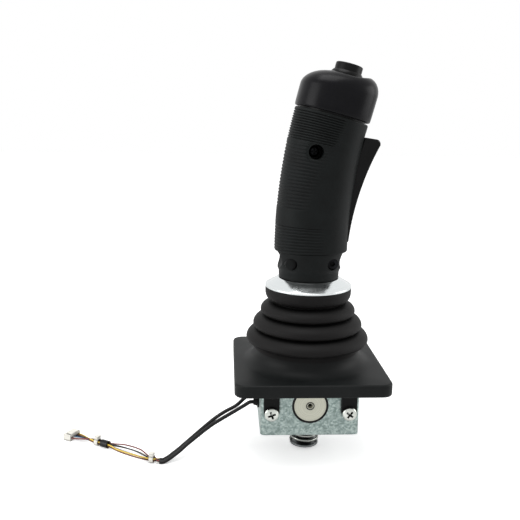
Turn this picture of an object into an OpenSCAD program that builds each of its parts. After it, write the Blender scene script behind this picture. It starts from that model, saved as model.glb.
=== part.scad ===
// Two-axis industrial joystick: die-cast gimbal housing, rubber bellows on a square
// skirt, curved two-shell grip with a finger trigger, and a capped head with a button.
// Origin: centre of the underside where the unit seats on a panel. +Z is up,
// +X is the trigger side, the trunnion axis lies along Y, and lengths are millimetres.

/* [Skirt and plate] */
// Width and depth of the square rubber skirt
skirt_w = 85; // [83:0.5:95]
// Height of the skirt at its rim
skirt_h = 7; // [6:0.1:9]
// Corner radius of the skirt in plan
skirt_corner_r = 6.2; // [4:0.1:9]
// Rounding of the skirt's rims
skirt_edge_r = 1.2; // [0.6:0.1:2]
// Outer radius of the neck that carries the bellows
neck_r = 30.4; // [30:0.1:32]
// Height of the neck's top above the underside
neck_top = 15; // [14:0.1:16]
// Concave radius between the skirt and its neck
neck_fillet_r = 8; // [6:0.1:8]
// Wall of the neck and the skirt's cover
skirt_wall = 2.6; // [2:0.1:3]
// Width and depth of the mounting plate
plate_w = 77; // [74:0.5:78]
// Thickness of the mounting plate
plate_t = 4; // [3:0.1:4.4]
// Corner radius of the mounting plate
plate_corner_r = 4; // [2:0.1:6]
// Width of the relief round the housing, as wide as the panel's cut-out
plate_relief_w = 60; // [58:0.5:61]
// Depth of that relief
plate_relief_h = 0.5; // [0.3:0.1:1]
// Radius of the round opening in the plate
plate_hole_r = 26.5; // [25:0.1:27]
// Spacing of the panel bolts along X and Y
bolt_spacing = 66; // [64:0.5:68]
// Diameter of the threaded panel bolt holes
bolt_hole_d = 4.2; // [3.3:0.1:5]
// Width of each tab that clips down the housing
tab_w = 8.6; // [8.2:0.1:10]
// Thickness of each tab
tab_t = 2; // [1.6:0.1:3]

/* [Housing] */
// Width of the housing along X
housing_w = 55.5; // [54:0.5:60]
// Depth of the housing along Y
housing_d = 50; // [48:0.5:54]
// Height of the housing
housing_h = 29.3; // [28.8:0.1:34]
// Radius of the housing's upright corners
housing_corner_r = 2.5; // [1:0.1:4]
// Thickness of the left and right walls
side_wall = 3.6; // [3:0.1:4]
// Thickness of the front and back walls
end_wall = 5.8; // [5:0.1:6]
// Thickness of the floor
floor_t = 3; // [2:0.1:3.2]
// Radius of the opening in the floor
floor_hole_r = 18.4; // [18:0.1:18.6]
// Distance of the tab screws from the middle, along X
screw_x = 21.7; // [21:0.1:22]
// Depth of the tab screws below the underside
screw_drop = 15.6; // [15:0.1:17]
// Thread diameter of the tab screws
screw_d = 4; // [3:0.5:4]
// Head diameter of the tab screws
screw_head_d = 8; // [7:0.1:8]
// Head height of the tab screws
screw_head_h = 2.6; // [2:0.1:3]
// Length of the tab screws under the head
screw_len = 7.2; // [6:0.1:7.5]

/* [Gimbal] */
// Depth of both pivot axes below the underside
pivot_drop = 12; // [11.6:0.1:12.4]
// Diameter of the trunnions
trunnion_d = 17.9; // [16:0.1:18]
// Wall of the bushes round the trunnions
bush_wall = 1.15; // [1:0.05:1.4]
// Thickness of the bush collars inside the housing
bush_collar_t = 1.2; // [1:0.1:1.4]
// Radial width of the bush collars
bush_collar_w = 1; // [0.6:0.1:1.2]
// Height of the gimbal frame
frame_h = 15; // [14:0.1:15]
// Outer length of the gimbal frame along X
frame_w = 39; // [38:0.1:39.4]
// Thickness of the gimbal frame's walls
frame_wall = 5; // [4.4:0.1:5]
// Diameter of the cross pin
pin_d = 6; // [5:0.1:7]
// Width of the lathe centre in each trunnion
centre_d = 3; // [2:0.1:4]
// Diameter of the sensor magnet in the cross pin
magnet_d = 4; // [3:0.1:4.4]
// Thickness of the sensor magnet
magnet_t = 2; // [1.5:0.1:2.5]
// Width of the sensor board along Y
board_w = 16; // [12:0.5:20]
// Height of the sensor board
board_h = 11; // [9:0.5:11.5]
// Thickness of the sensor board
board_t = 1.6; // [1:0.1:1.6]

/* [Lever and spring] */
// Diameter of the lever's steel tube
shaft_d = 12; // [11:0.1:12]
// Bore of the tube for the wires
shaft_bore_d = 6; // [4:0.1:6]
// Height of the tube's top above the underside
shaft_top = 82; // [81:0.1:84]
// Depth of the tube's lower end below the underside
shaft_drop = 47; // [46.5:0.1:48]
// Diameter of the tube where it carries the spring
stub_d = 9; // [8:0.1:9.4]
// Depth of the shoulder above the spring seat
shoulder_drop = 31.2; // [31:0.1:32]
// Depth of the hub along Y
hub_d = 16; // [15:0.1:16]
// Outer diameter of the return spring
spring_od = 17.4; // [16.8:0.1:17.6]
// Wire diameter of the return spring
wire_d = 1.7; // [1.4:0.1:1.8]
// Turns of the return spring
spring_turns = 3.5; // [3:0.5:4]
// Diameter of the spring seat's flange
seat_d = 16.4; // [16:0.1:17]
// Thickness of the spring seat's flange
seat_t = 1.6; // [1.2:0.1:2]
// Length of the spring seat's sleeve
seat_sleeve = 4; // [3:0.1:5]
// Diameter of the washer under the spring
washer_d = 16.8; // [16:0.1:17.4]
// Thickness of the washer
washer_t = 1.2; // [1:0.1:1.4]
// Thickness of the retaining clip
clip_t = 0.8; // [0.7:0.1:1]
// Outer diameter of the retaining clip
clip_d = 13; // [12:0.1:14]

/* [Bellows and clamp ring] */
// Height of the clamp ring's rim above the underside
ring_z = 51.2; // [51:0.1:52]
// Rim radius of the clamp ring
ring_r = 24.7; // [24:0.1:25.5]
// Thickness of the clamp ring's rim
ring_rim_t = 1; // [0.8:0.1:1.4]
// Rise of the clamp ring's cone
ring_rise = 4.3; // [4:0.1:5]
// Radius of the flat on top of the cone
ring_flat_r = 17.4; // [17:0.1:18]
// Radius of the spigot under the clamp ring
spigot_r = 19.2; // [18.6:0.1:19.4]
// Length of the spigot under the clamp ring
spigot_len = 6.5; // [5:0.1:7]
// Wall of the spigot under the clamp ring
spigot_wall = 3; // [2:0.1:4]
// Crest radius of the upper fold
fold1_r = 27.2; // [26.6:0.1:28]
// Crest radius of the middle fold
fold2_r = 31.4; // [30.8:0.1:32]
// Crest radius of the lower fold
fold3_r = 35.3; // [34.8:0.1:36]
// Height of the lower fold's crest
fold3_z = 21; // [20.6:0.1:21.4]
// Height from one crest to the next
fold_pitch = 8.2; // [8:0.1:8.4]
// Rounding of the crests
crest_r = 2; // [2:0.1:2.4]
// Wall of the bellows
bellows_wall = 1.7; // [1.4:0.1:1.9]

/* [Neck collar] */
// Height of the neck collar
collar_h = 15.9; // [15.5:0.1:17]
// Radius of the collar at its foot
collar_foot_r = 17; // [16.6:0.1:17.3]
// Radius of the collar under the grip
collar_top_r = 19.4; // [19:0.1:19.8]
// Height of the collar's screw holes above its foot
collar_hole_z = 9.8; // [9:0.1:10]
// Diameter of the collar's screw holes
collar_hole_d = 6.6; // [6:0.1:7]
// Height of the screw heads in those holes
collar_screw_h = 4.4; // [3:0.1:5]
// Depth of the hexagon socket in those heads
collar_socket_h = 1.8; // [1:0.1:2.2]
// Distance of the screw holes' floors from the middle, along Y
collar_hole_floor = 8; // [7.6:0.1:9]
// Distance of the screw holes from the middle, along X
collar_hole_x = 11.6; // [11:0.1:12]
// Mouth diameter of the countersinks at the collar's sides
sink_d = 9.4; // [9:0.1:10]
// Depth of the countersinks at the collar's sides
sink_depth = 3.6; // [3:0.1:4]
// Diameter of the clamp screws
clamp_screw_d = 4; // [3.5:0.1:4.4]
// Radius of the collar's plug inside the grip
plug_r = 14.6; // [14:0.1:15]
// Length of the collar's plug inside the grip
plug_len = 4.2; // [3:0.1:4.4]

/* [Grip] */
// Width of the grip along X
grip_w = 41.2; // [40:0.1:42]
// Depth of the grip along Y
grip_d = 38.6; // [37:0.1:40]
// Squareness of the grip's section
grip_square = 2.25; // [2:0.05:2.5]
// Length of the grip along its curved axis
grip_len = 75; // [74:0.1:77]
// Forward lean of the grip's top
grip_lean = 14.5; // [14:0.1:15]
// Forward offset of the grip from the tube
grip_x = 0.65; // [0.4:0.05:0.9]
// Wall of the grip shells
grip_wall = 2.6; // [2:0.1:3]
// Diameter of the recess over the grip screw
recess_d = 8; // [7:0.1:9]
// Height of the grip screw above the grip's foot
grip_screw_z = 55.2; // [54:0.1:57]
// Sideways place of the grip screw
grip_screw_x = 0; // [-1:0.1:1]
// Thread diameter of the grip screw
grip_screw_d = 3; // [2.5:0.1:3.5]
// Depth of the recess down to the screw's head
recess_depth = 12; // [10:0.1:13]

/* [Head] */
// Height of the cap's top above the grip
cap_h = 23.1; // [22.6:0.1:23.6]
// Extra width of the cap over the grip
cap_over = 1.2; // [0.8:0.1:1.6]
// Width of the rounding along the cap's top rim
cap_round_w = 10.5; // [8:0.1:11]
// Height of the rounding along the cap's top rim
cap_round_h = 9.3; // [7:0.1:11]
// Shift of the cap's top towards the trigger
cap_shift = 2; // [0:0.1:3]
// Rise of the cap's top for each millimetre towards the trigger
cap_rise = 0.1; // [0:0.01:0.12]
// Shadow gap between the cap and the grip
cap_gap = 0.9; // [0.7:0.1:1.2]
// Depth of the saddle across the cap's top
saddle_depth = 1.4; // [1:0.1:2]
// Radius of the saddle across the cap's top
saddle_r = 30; // [26:1:36]
// Diameter of the thumb button
button_d = 15; // [14:0.1:15.4]
// Height of the button's face above the grip's top
button_top = 28.6; // [28:0.1:30]
// Rounding of the button's rim
button_round = 0.9; // [0.5:0.1:1.4]
// Travel of the button
button_travel = 1.8; // [1:0.1:2]
// Offset of the button towards the trigger
button_x = 2; // [1.5:0.1:2.5]
// Outer diameter of the bezel round the button
bezel_d = 18; // [17.6:0.1:18.6]
// Height of the bezel above the grip's top
bezel_top = 24.6; // [24:0.1:25]
// Length of the bezel
bezel_len = 9; // [8:0.1:10]
// Width of the button's switch
switch_w = 12; // [10:0.1:12]
// Height of the button's switch
switch_h = 7; // [6:0.1:8]

/* [Trigger] */
// Width of the trigger along Y
trigger_w = 13; // [11:0.1:14]
// Height of the trigger's pin above the grip's foot
trigger_pin_z = 11.6; // [11:0.1:12.4]
// Place of the trigger's pin along X
trigger_pin_x = 14.6; // [14:0.1:15]
// Diameter of the trigger's pin
trigger_pin_d = 3; // [2:0.1:3.4]
// Length of the trigger above its pin
trigger_len = 50.6; // [49:0.1:52]
// Length of the trigger below its pin
trigger_tail = 6.6; // [6:0.1:7]
// How far the trigger's foot stands out from its pin
trigger_foot_x = 6.6; // [6:0.1:7.4]
// How far the trigger's tip stands out from its pin
trigger_tip_x = 22.2; // [21:0.1:23]
// Radius of the hollow along the trigger's face
trigger_face_r = 150; // [130:1:180]
// Depth of the trigger at its tip
trigger_tip_t = 9; // [8:0.1:10]
// Rounding of the trigger's tip
trigger_round = 2; // [1:0.1:3]

/* [Cables] */
// Diameter of the two sheathed cables
cable_d = 2.2; // [2:0.1:2.4]
// Diameter of the single wires
lead_d = 0.8; // [0.7:0.05:0.9]
// Body length of the connector
plug_body_l = 5.2; // [5:0.1:7]
// Body width of the connector
plug_body_w = 8.8; // [8.6:0.1:10]
// Body height of the connector
plug_body_h = 3.8; // [3:0.1:4.5]

/* [Hidden] */
$fn = 96;
run_gap = 0.05;          // radial clearance of a turning fit
seat_gap = 0.05;         // radial clearance of a fixed fit
slide_gap = 0.1;         // radial clearance of the button in its bezel
free_gap = 0.3;          // clearance between moving faces
hull_fn = 32;            // segments where shapes are hulled
far = 200;               // reach of a cutting solid
eps = 0.01;              // overcut that keeps faces from coinciding

// Housing and gimbal
cavity_w = housing_w - 2 * side_wall;
cavity_d = housing_d - 2 * end_wall;
bush_bore = trunnion_d + 2 * run_gap;
bush_od = bush_bore + 2 * bush_wall;
bush_seat_d = bush_od + 2 * seat_gap;
frame_d = cavity_d - 2 * (bush_collar_t + free_gap);
frame_in_w = frame_w - 2 * frame_wall;
frame_in_d = frame_d - 2 * frame_wall;
frame_corner_r = 4;
hub_w = frame_in_w - 2 * free_gap;
hub_r = sqrt(pow(hub_d / 2, 2) + pow(frame_h / 2, 2));
pin_bore = pin_d + 2 * run_gap;
screw_bore = screw_d + 2 * seat_gap;
tab_face = housing_d / 2 + tab_t;
tab_round_rise = 1;      // the tab's round end sits this far above its screw
board_top = 3.6;         // depth of the board's top edge below the underside
chip_w = 4;
chip_t = 1;

// Cable outlets in the left wall
cable_exit_y = [6, -6];
cable_drop = 17.5;
grommet_d = cable_d + 2.4;
grommet_flange_d = grommet_d + 1.8;
grommet_flange_t = 1;
grommet_nose_d = cable_d + 1.2;
cable_exit_x = -31;

// Lever, from the spring up to the grip
tube_bore = shaft_d + 2 * seat_gap;
stub_bore = stub_d + 2 * seat_gap;
tube_pin_hole_d = pin_d + 2 * seat_gap;
clip_drop = shaft_drop - 0.6;
clip_groove_d = stub_d - 1.6;
clip_mouth_w = 6;
washer_drop = clip_drop - clip_t;
spring_base = washer_drop - washer_t;
spring_head = shoulder_drop + seat_t;
spring_mean_r = (spring_od - wire_d) / 2;
sleeve_od = spring_od - 2 * wire_d - 2 * free_gap;
collar_z = ring_z + ring_rim_t + ring_rise;
grip_z = collar_z + collar_h;

// Bellows
fold2_z = fold3_z + fold_pitch;
fold1_z = fold2_z + fold_pitch;
fold_depth = 7.2;        // from the top crest in to the valley above it
fold_rise = 5.8;         // from a crest up to the valley above it
valley_r = 0.4;
lip_h = 2;               // height of the lip that grips the spigot

// Grip, on an arc that starts upright and ends at its lean
spine_r = grip_len / (grip_lean * PI / 180);
spine_x = grip_x + spine_r;
head_x = spine_x - spine_r * cos(grip_lean);
head_z = grip_z + spine_r * sin(grip_lean);
grip_a = grip_w / 2;
grip_b = grip_d / 2;
section_steps = 30;
screw_z = grip_z + grip_screw_z;
screw_boss_d = recess_d + 3;
screw_head_depth = 1.8;

// Head
cap_spigot_r = grip_b - grip_wall - free_gap;
cap_step_r = grip_b - 1;
cap_spigot_len = 3.6;
bezel_bore = button_d + 2 * slide_gap;
bezel_seat_d = bezel_d + 2 * seat_gap;
bezel_foot = bezel_top - bezel_len;
button_foot = bezel_foot + free_gap + button_travel;
cap_wall = 4;

// Trigger
pivot_x = trigger_pin_x;
pivot_z = grip_z + trigger_pin_z;
trigger_slot_w = trigger_w + 2 * free_gap;
trigger_top_gap = 1.2;
trigger_boss_d = trigger_pin_d + 4;
trigger_pin_len = 20;
trigger_eye_r = 3.4;

// Cable routes, from the outlets to the ends of the sheaths
cable_a_route = [[-31, 6, -17.5], [-32.6, 6, -17.5], [-36.3, 4.8, -20.2], [-41, 2.6, -23.6],
    [-47.3, 0.4, -26.2], [-53.5, -3, -29], [-67.6, -11, -38], [-75.3, -16.4, -42.6],
    [-82.4, -20.2, -46], [-84.4, -20.2, -46]];
cable_b_route = [[-31, -6, -17.5], [-32.6, -6, -17.5], [-37.3, -5.9, -20.4], [-43, -5.8, -24],
    [-49, -7, -27.2], [-55.3, -9, -30.4], [-68.2, -14.6, -38.6], [-75.3, -19.4, -42.9],
    [-82.2, -22.8, -46], [-84.4, -22.8, -46]];

// The leads pass the sheath tie, then the sleeve and the second tie, into the connector
sheath_tie_at = [-88.8, -21.2, -44.8];
sleeve_at = [-118.2, -2.6, -44.8];
lead_tie_at = [-123.2, 0.3, -44.8];
plug_face_at = [-138.4, 8.9, -45.2];
sheath_tie_angle = 165;  // heading of the leads in the sheath tie, about Z
run_angle = 150;         // heading of the leads from the sleeve to the connector, about Z
slot_pitch = 1.05;       // spacing of the leads in the bundle
bundle_r = 1.75;         // radius that six leads take side by side
band_t = 0.45;
tie_w = 2.4;
sleeve_len = 5;
pin_pitch = 1.25;

// Each lead's place in the bundle: column in the row of three, then row
lead_slots = [[1, 0.5], [1, -0.5], [0, 0.5], [-1, 0.5], [-1, -0.5], [0, -0.5]];
// Where each lead starts on its sheath's end: sheath, then offsets along Y and Z
lead_starts = [[0, 0.5, 0.28], [0, 0, -0.58], [0, -0.5, 0.28],
    [1, 0, 0.58], [1, -0.5, -0.28], [1, 0.5, -0.28]];
// How far each lead strays from the run's middle line: sideways, then upwards
lead_strays = [[5.6, 2.6], [2.4, 0.4], [1.6, 2.2], [-1.6, 1.6], [-3.2, -0.6], [-0.6, -1]];
// Each lead's place in the connector, counted from the side of the first
lead_pins = [0, 1, 2, 5, 4, 3];

// ---- Shared shapes ----

// Turns a shape drawn along +Z so that it runs along +X.
module along_x() {
    rotate([0, 90, 0]) children();
}

// Turns a shape drawn along +Z so that it runs along +Y.
module along_y() {
    rotate([-90, 0, 0]) children();
}

// A rectangle with round corners, made of true arcs.
module round_rect(w, d, r) {
    square([w - 2 * r, d], center = true);
    square([w, d - 2 * r], center = true);
    for (x = [-1, 1], y = [-1, 1])
        translate([x * (w / 2 - r), y * (d / 2 - r)]) circle(r);
}

// A tube along +Z.
module tube(outer_d, inner_d, h) {
    difference() {
        cylinder(d = outer_d, h = h);
        translate([0, 0, -eps]) cylinder(d = inner_d, h = h + 2 * eps);
    }
}

// Points along an arc round c.
function arc(c, r, from, to, steps) =
    [for (i = [0:steps]) let (t = from + (to - from) * i / steps) c + r * [cos(t), sin(t)]];

// Points along a superellipse, between two angles.
function oval(a, b, from, to, steps) = [for (i = [0:steps])
    let (t = from + (to - from) * i / steps, n = 2 / grip_square)
    [a * sign(cos(t)) * pow(abs(cos(t)), n), b * sign(sin(t)) * pow(abs(sin(t)), n)]];

function reversed(list) = [for (i = [len(list) - 1:-1:0]) list[i]];

// A closed solid through a stack of rings that have as many points each.
module loft(rings) {
    n = len(rings[0]);
    top = (len(rings) - 1) * n;
    sides = [for (k = [0:len(rings) - 2], i = [0:n - 1])
        let (j = (i + 1) % n) [k * n + i, (k + 1) * n + i, (k + 1) * n + j, k * n + j]];
    polyhedron(
        points = [for (ring = rings) each ring],
        faces = concat([[for (i = [0:n - 1]) i]], sides, [[for (i = [n - 1:-1:0]) top + i]]),
        convexity = 6);
}

function unit(v) = v / norm(v);

// Heading of a route at point i, halfway between the stretches that meet there.
function heading(route, i) =
    i == 0 ? unit(route[1] - route[0]) :
    i == len(route) - 1 ? unit(route[i] - route[i - 1]) :
    unit(unit(route[i] - route[i - 1]) + unit(route[i + 1] - route[i]));

// A round cord of diameter d along a route, with level sides.
module cord(route, d, sides = 8) {
    loft([for (i = [0:len(route) - 1])
        let (t = heading(route, i), u = unit(cross(t, [0, 0, 1])), w = cross(u, t))
        [for (k = [0:sides - 1])
            let (a = 360 * k / sides) route[i] + d / 2 * (u * cos(a) + w * sin(a))]]);
}

// A pan-head screw along -Z with its head's seat at z = 0 and a cross recess.
module pan_screw(d, head_d, head_h, length) {
    difference() {
        union() {
            translate([0, 0, -length]) cylinder(d = d, h = length + eps);
            rotate_extrude() polygon([[0, 0], [head_d / 2, 0], [head_d / 2, head_h * 0.45],
                [head_d * 0.44, head_h * 0.75], [head_d * 0.32, head_h * 0.94], [0, head_h]]);
        }
        for (turn = [0, 90])
            rotate(turn) translate([-head_d * 0.28, -head_d * 0.07, head_h * 0.4])
                cube([head_d * 0.56, head_d * 0.14, head_h]);
    }
}

// Places children at the grip's top, leaning with it.
module at_head() {
    translate([head_x, 0, head_z]) rotate([0, grip_lean, 0]) children();
}

// ---- Base: skirt, plate and housing ----

module skirt() {
    post = skirt_w / 2 - skirt_corner_r;
    fillet = min(neck_fillet_r, neck_top - skirt_h);
    color("#26282a") difference() {
        union() {
            hull() for (x = [-1, 1], y = [-1, 1])
                translate([x * post, y * post, 0]) rotate_extrude($fn = hull_fn)
                    polygon(concat([[0, 0]],
                        arc([skirt_corner_r - skirt_edge_r / 2, skirt_edge_r / 2],
                            skirt_edge_r / 2, -90, 0, 2),
                        arc([skirt_corner_r - skirt_edge_r, skirt_h - skirt_edge_r],
                            skirt_edge_r, 0, 90, 3),
                        [[0, skirt_h]]));
            rotate_extrude() polygon(concat([[neck_r - skirt_wall, skirt_h - 1],
                [neck_r - skirt_wall, neck_top], [neck_r, neck_top]],
                arc([neck_r + fillet, skirt_h + fillet], fillet, 180, 270, 8),
                [[neck_r + fillet, skirt_h - 1]]));
        }
        translate([0, 0, -eps]) linear_extrude(plate_t + eps)
            round_rect(plate_w + 2 * seat_gap, plate_w + 2 * seat_gap, plate_corner_r);
        translate([0, 0, -eps]) cylinder(r = neck_r - skirt_wall, h = neck_top + 2 * eps);
    }
}

// Places children at each tab screw, with +Z out of the housing's end face.
module at_tab_screws() {
    for (end = [0, 180], x = [-screw_x, screw_x])
        rotate(end) translate([x, -tab_face, -screw_drop]) rotate([90, 0, 0]) children();
}

module mounting_plate() {
    color("#1c1d1f") difference() {
        union() {
            difference() {
                linear_extrude(plate_t) round_rect(plate_w, plate_w, plate_corner_r);
                translate([0, 0, -eps]) linear_extrude(plate_relief_h + eps)
                    square(plate_relief_w, center = true);
            }
            at_tab_screws() translate([0, 0, -tab_t]) linear_extrude(tab_t) {
                translate([0, tab_round_rise]) circle(d = tab_w);
                translate([-tab_w / 2, tab_round_rise])
                    square([tab_w, screw_drop + plate_t / 2 - tab_round_rise]);
            }
        }
        translate([0, 0, -eps]) cylinder(r = plate_hole_r, h = plate_t + 2 * eps);
        for (x = [-1, 1], y = [-1, 1])
            translate([x * bolt_spacing / 2, y * bolt_spacing / 2, -eps])
                cylinder(d = bolt_hole_d, h = plate_t + 2 * eps);
        at_tab_screws() translate([0, 0, -tab_t - eps])
            cylinder(d = screw_bore, h = tab_t + 2 * eps);
    }
}

module housing() {
    color("#a9b4b4") difference() {
        translate([0, 0, -housing_h]) linear_extrude(housing_h + plate_relief_h)
            round_rect(housing_w, housing_d, housing_corner_r);
        translate([0, 0, floor_t - housing_h]) linear_extrude(housing_h)
            round_rect(cavity_w, cavity_d, housing_corner_r);
        translate([0, 0, -housing_h - eps]) cylinder(r = floor_hole_r, h = floor_t + 2 * eps);
        translate([0, -housing_d / 2 - eps, -pivot_drop]) along_y()
            cylinder(d = bush_seat_d, h = housing_d + 2 * eps);
        at_tab_screws() translate([0, 0, -tab_t - end_wall - eps])
            cylinder(d = screw_bore, h = end_wall + 2 * eps);
        for (y = cable_exit_y)
            translate([-housing_w / 2 - eps, y, -cable_drop]) along_x()
                cylinder(d = grommet_d + 2 * seat_gap, h = side_wall + 2 * eps);
    }
}

module tab_screws() {
    color("#c9ccc8") at_tab_screws() pan_screw(screw_d, screw_head_d, screw_head_h, screw_len);
}

module pivot_bushes() {
    color("#141414") for (end = [0, 180])
        rotate(end) translate([0, cavity_d / 2 - bush_collar_t, -pivot_drop]) along_y() {
            tube(bush_od, bush_bore, bush_collar_t + end_wall);
            tube(bush_od + 2 * bush_collar_w, bush_bore, bush_collar_t);
        }
}

module cable_grommets() {
    wall_x = -housing_w / 2;
    color("#101010") for (y = cable_exit_y)
        translate([wall_x, y, -cable_drop]) along_x() {
            cylinder(d = grommet_d, h = side_wall);
            translate([0, 0, -grommet_flange_t])
                cylinder(d = grommet_flange_d, h = grommet_flange_t);
            translate([0, 0, cable_exit_x - wall_x])
                cylinder(d1 = grommet_nose_d, d2 = grommet_d,
                    h = wall_x - cable_exit_x - grommet_flange_t + eps);
        }
}

module sensor_board() {
    color("#2d5a3a") translate([-cavity_w / 2, -board_w / 2, -board_top - board_h]) {
        cube([board_t, board_w, board_h]);
        for (y = [-chip_w, chip_w])
            translate([board_t - eps, board_w / 2 + y / 2 - chip_w / 2, 2])
                cube([chip_t, chip_w - 1, chip_w]);
    }
}

// ---- Gimbal, turning about Y in the housing ----

module gimbal_frame() {
    color("#bdbab0") translate([0, 0, -pivot_drop]) difference() {
        union() {
            translate([0, 0, -frame_h / 2]) linear_extrude(frame_h) difference() {
                round_rect(frame_w, frame_d, frame_corner_r);
                square([frame_in_w, frame_in_d], center = true);
            }
            for (end = [0, 180])
                rotate(end) translate([0, frame_in_d / 2 + 1, 0]) along_y()
                    cylinder(d = trunnion_d, h = (housing_d - frame_in_d) / 2 - 1);
        }
        translate([-far / 2, 0, 0]) along_x() cylinder(d = pin_bore, h = far);
        for (end = [0, 180])
            rotate(end) translate([0, housing_d / 2 + eps, 0]) rotate([90, 0, 0])
                cylinder(d1 = centre_d, d2 = 0.4, h = centre_d * 0.8);
    }
}

// ---- Lever, turning about X in the gimbal ----

module cross_pin() {
    color("#c6c8c9") translate([0, 0, -pivot_drop]) difference() {
        translate([-frame_w / 2, 0, 0]) along_x() cylinder(d = pin_d, h = frame_w);
        translate([-frame_w / 2 - eps, 0, 0]) along_x()
            cylinder(d = magnet_d + 2 * seat_gap, h = magnet_t + eps);
    }
}

module sensor_magnet() {
    color("#8e9092") translate([-frame_w / 2, 0, -pivot_drop]) along_x()
        cylinder(d = magnet_d, h = magnet_t);
}

module hub() {
    color("#9a9c9c") translate([0, 0, -pivot_drop]) difference() {
        intersection() {
            translate([-hub_w / 2, 0, 0]) along_x() cylinder(r = hub_r, h = hub_w);
            cube([hub_w, hub_d, frame_h], center = true);
        }
        translate([-hub_w / 2 - eps, 0, 0]) along_x()
            cylinder(d = pin_d + 2 * seat_gap, h = hub_w + 2 * eps);
        translate([0, 0, -frame_h]) cylinder(d = tube_bore, h = 2 * frame_h);
    }
}

module lever_tube() {
    color("#b4b6b7") difference() {
        rotate_extrude() polygon([[shaft_bore_d / 2, shaft_top], [shaft_d / 2, shaft_top],
            [shaft_d / 2, -shoulder_drop], [stub_d / 2, -shoulder_drop],
            [stub_d / 2, -washer_drop], [clip_groove_d / 2, -washer_drop],
            [clip_groove_d / 2, -clip_drop], [stub_d / 2, -clip_drop],
            [stub_d / 2, -shaft_drop], [shaft_bore_d / 2, -shaft_drop]]);
        translate([-shaft_d, 0, -pivot_drop]) along_x()
            cylinder(d = tube_pin_hole_d, h = 2 * shaft_d);
    }
}

module spring_seat() {
    color("#161616") translate([0, 0, -spring_head - seat_sleeve]) {
        tube(sleeve_od, stub_bore, seat_sleeve + seat_t);
        translate([0, 0, seat_sleeve]) tube(seat_d, stub_bore, seat_t);
    }
}

// The spring's end coils lie a wire apart, and its middle turns are spread evenly.
module return_spring() {
    span = spring_base - spring_head - wire_d;
    steps = 14 * spring_turns;
    color("#8c8f90") cord([for (i = [0:steps])
        let (f = i / steps, a = 360 * spring_turns * f)
        [spring_mean_r * cos(a), spring_mean_r * sin(a), -spring_head - wire_d / 2 - span * f]],
        wire_d);
}

module spring_washer() {
    color("#a7a9aa") translate([0, 0, -washer_drop]) tube(washer_d, stub_bore, washer_t);
}

module retaining_clip() {
    color("#6f7274") translate([0, 0, -clip_drop]) difference() {
        tube(clip_d, clip_groove_d + 2 * seat_gap, clip_t);
        translate([0, -clip_mouth_w / 2, -eps]) cube([clip_d, clip_mouth_w, clip_t + 2 * eps]);
    }
}

// A fold's outline: out of the valley above it, over its bulge and round its crest.
function fold(valley, crest, z) = concat(
    arc(valley + [valley_r, 0], valley_r, 90, 270, 6),
    [for (t = [75:-15:15]) [valley[0] + valley_r + (crest - valley[0] - valley_r) * cos(t),
        z + (valley[1] - valley_r - z) * sin(t)]],
    arc([crest - crest_r, z], crest_r, 0, -90, 5));

// An outline moved by d to its inner side, point by point.
function inset(line, d) = [for (i = [1:len(line) - 2])
    let (t = unit(line[i + 1] - line[i - 1])) line[i] + d * [t[1], -t[0]]];

module bellows() {
    cup_r = ring_r - 0.1;
    cup_foot = fold1_z + fold_pitch / 2 + 1.8;
    cup_h = ring_z - cup_foot;
    outline = concat([[cup_r, ring_z], [cup_r, ring_z - lip_h],
        [cup_r - 0.3, ring_z - cup_h * 0.6], [cup_r - 1.2, ring_z - cup_h * 0.85],
        [cup_r - 2.6, cup_foot]],
        fold([fold1_r - fold_depth, fold1_z + fold_pitch / 2 + 0.9], fold1_r, fold1_z),
        fold([fold1_r - fold_depth + 3.2, fold2_z + fold_rise], fold2_r, fold2_z),
        fold([fold2_r - fold_depth + 3.2, fold3_z + fold_rise], fold3_r, fold3_z),
        [[neck_r + 0.6, fold3_z - crest_r - 0.6], [neck_r, fold3_z - crest_r - 1.6],
            [neck_r, neck_top]]);
    lining = reversed(inset(outline, bellows_wall));
    color("#1d1c1b") rotate_extrude() polygon(concat(outline, [[neck_r - bellows_wall, neck_top]],
        [for (p = lining) if (p[1] < ring_z - lip_h) p],
        [[cup_r - bellows_wall, ring_z - lip_h], [spigot_r + seat_gap, ring_z - lip_h],
            [spigot_r + seat_gap, ring_z]]));
}

module clamp_ring() {
    rim_z = ring_z + ring_rim_t;
    color("#d9dbdc") rotate_extrude() polygon([[tube_bore / 2, ring_z],
        [tube_bore / 2, collar_z], [ring_flat_r, collar_z], [ring_r, rim_z], [ring_r, ring_z],
        [spigot_r, ring_z], [spigot_r, ring_z - spigot_len],
        [spigot_r - spigot_wall, ring_z - spigot_len], [spigot_r - spigot_wall, ring_z]]);
}

// Places children on each side of the collar, with +Z in towards the tube.
module at_collar_sides(radius) {
    for (end = [0, 180])
        rotate(end) translate([-radius, 0, collar_z + collar_hole_z]) along_x() children();
}

// Places children at the four screw holes, with +Z out of the collar.
module at_collar_holes(reach) {
    for (end = [0, 180], x = [-collar_hole_x, collar_hole_x])
        rotate(end) translate([x, -reach, collar_z + collar_hole_z]) rotate([90, 0, 0])
            children();
}

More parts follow.
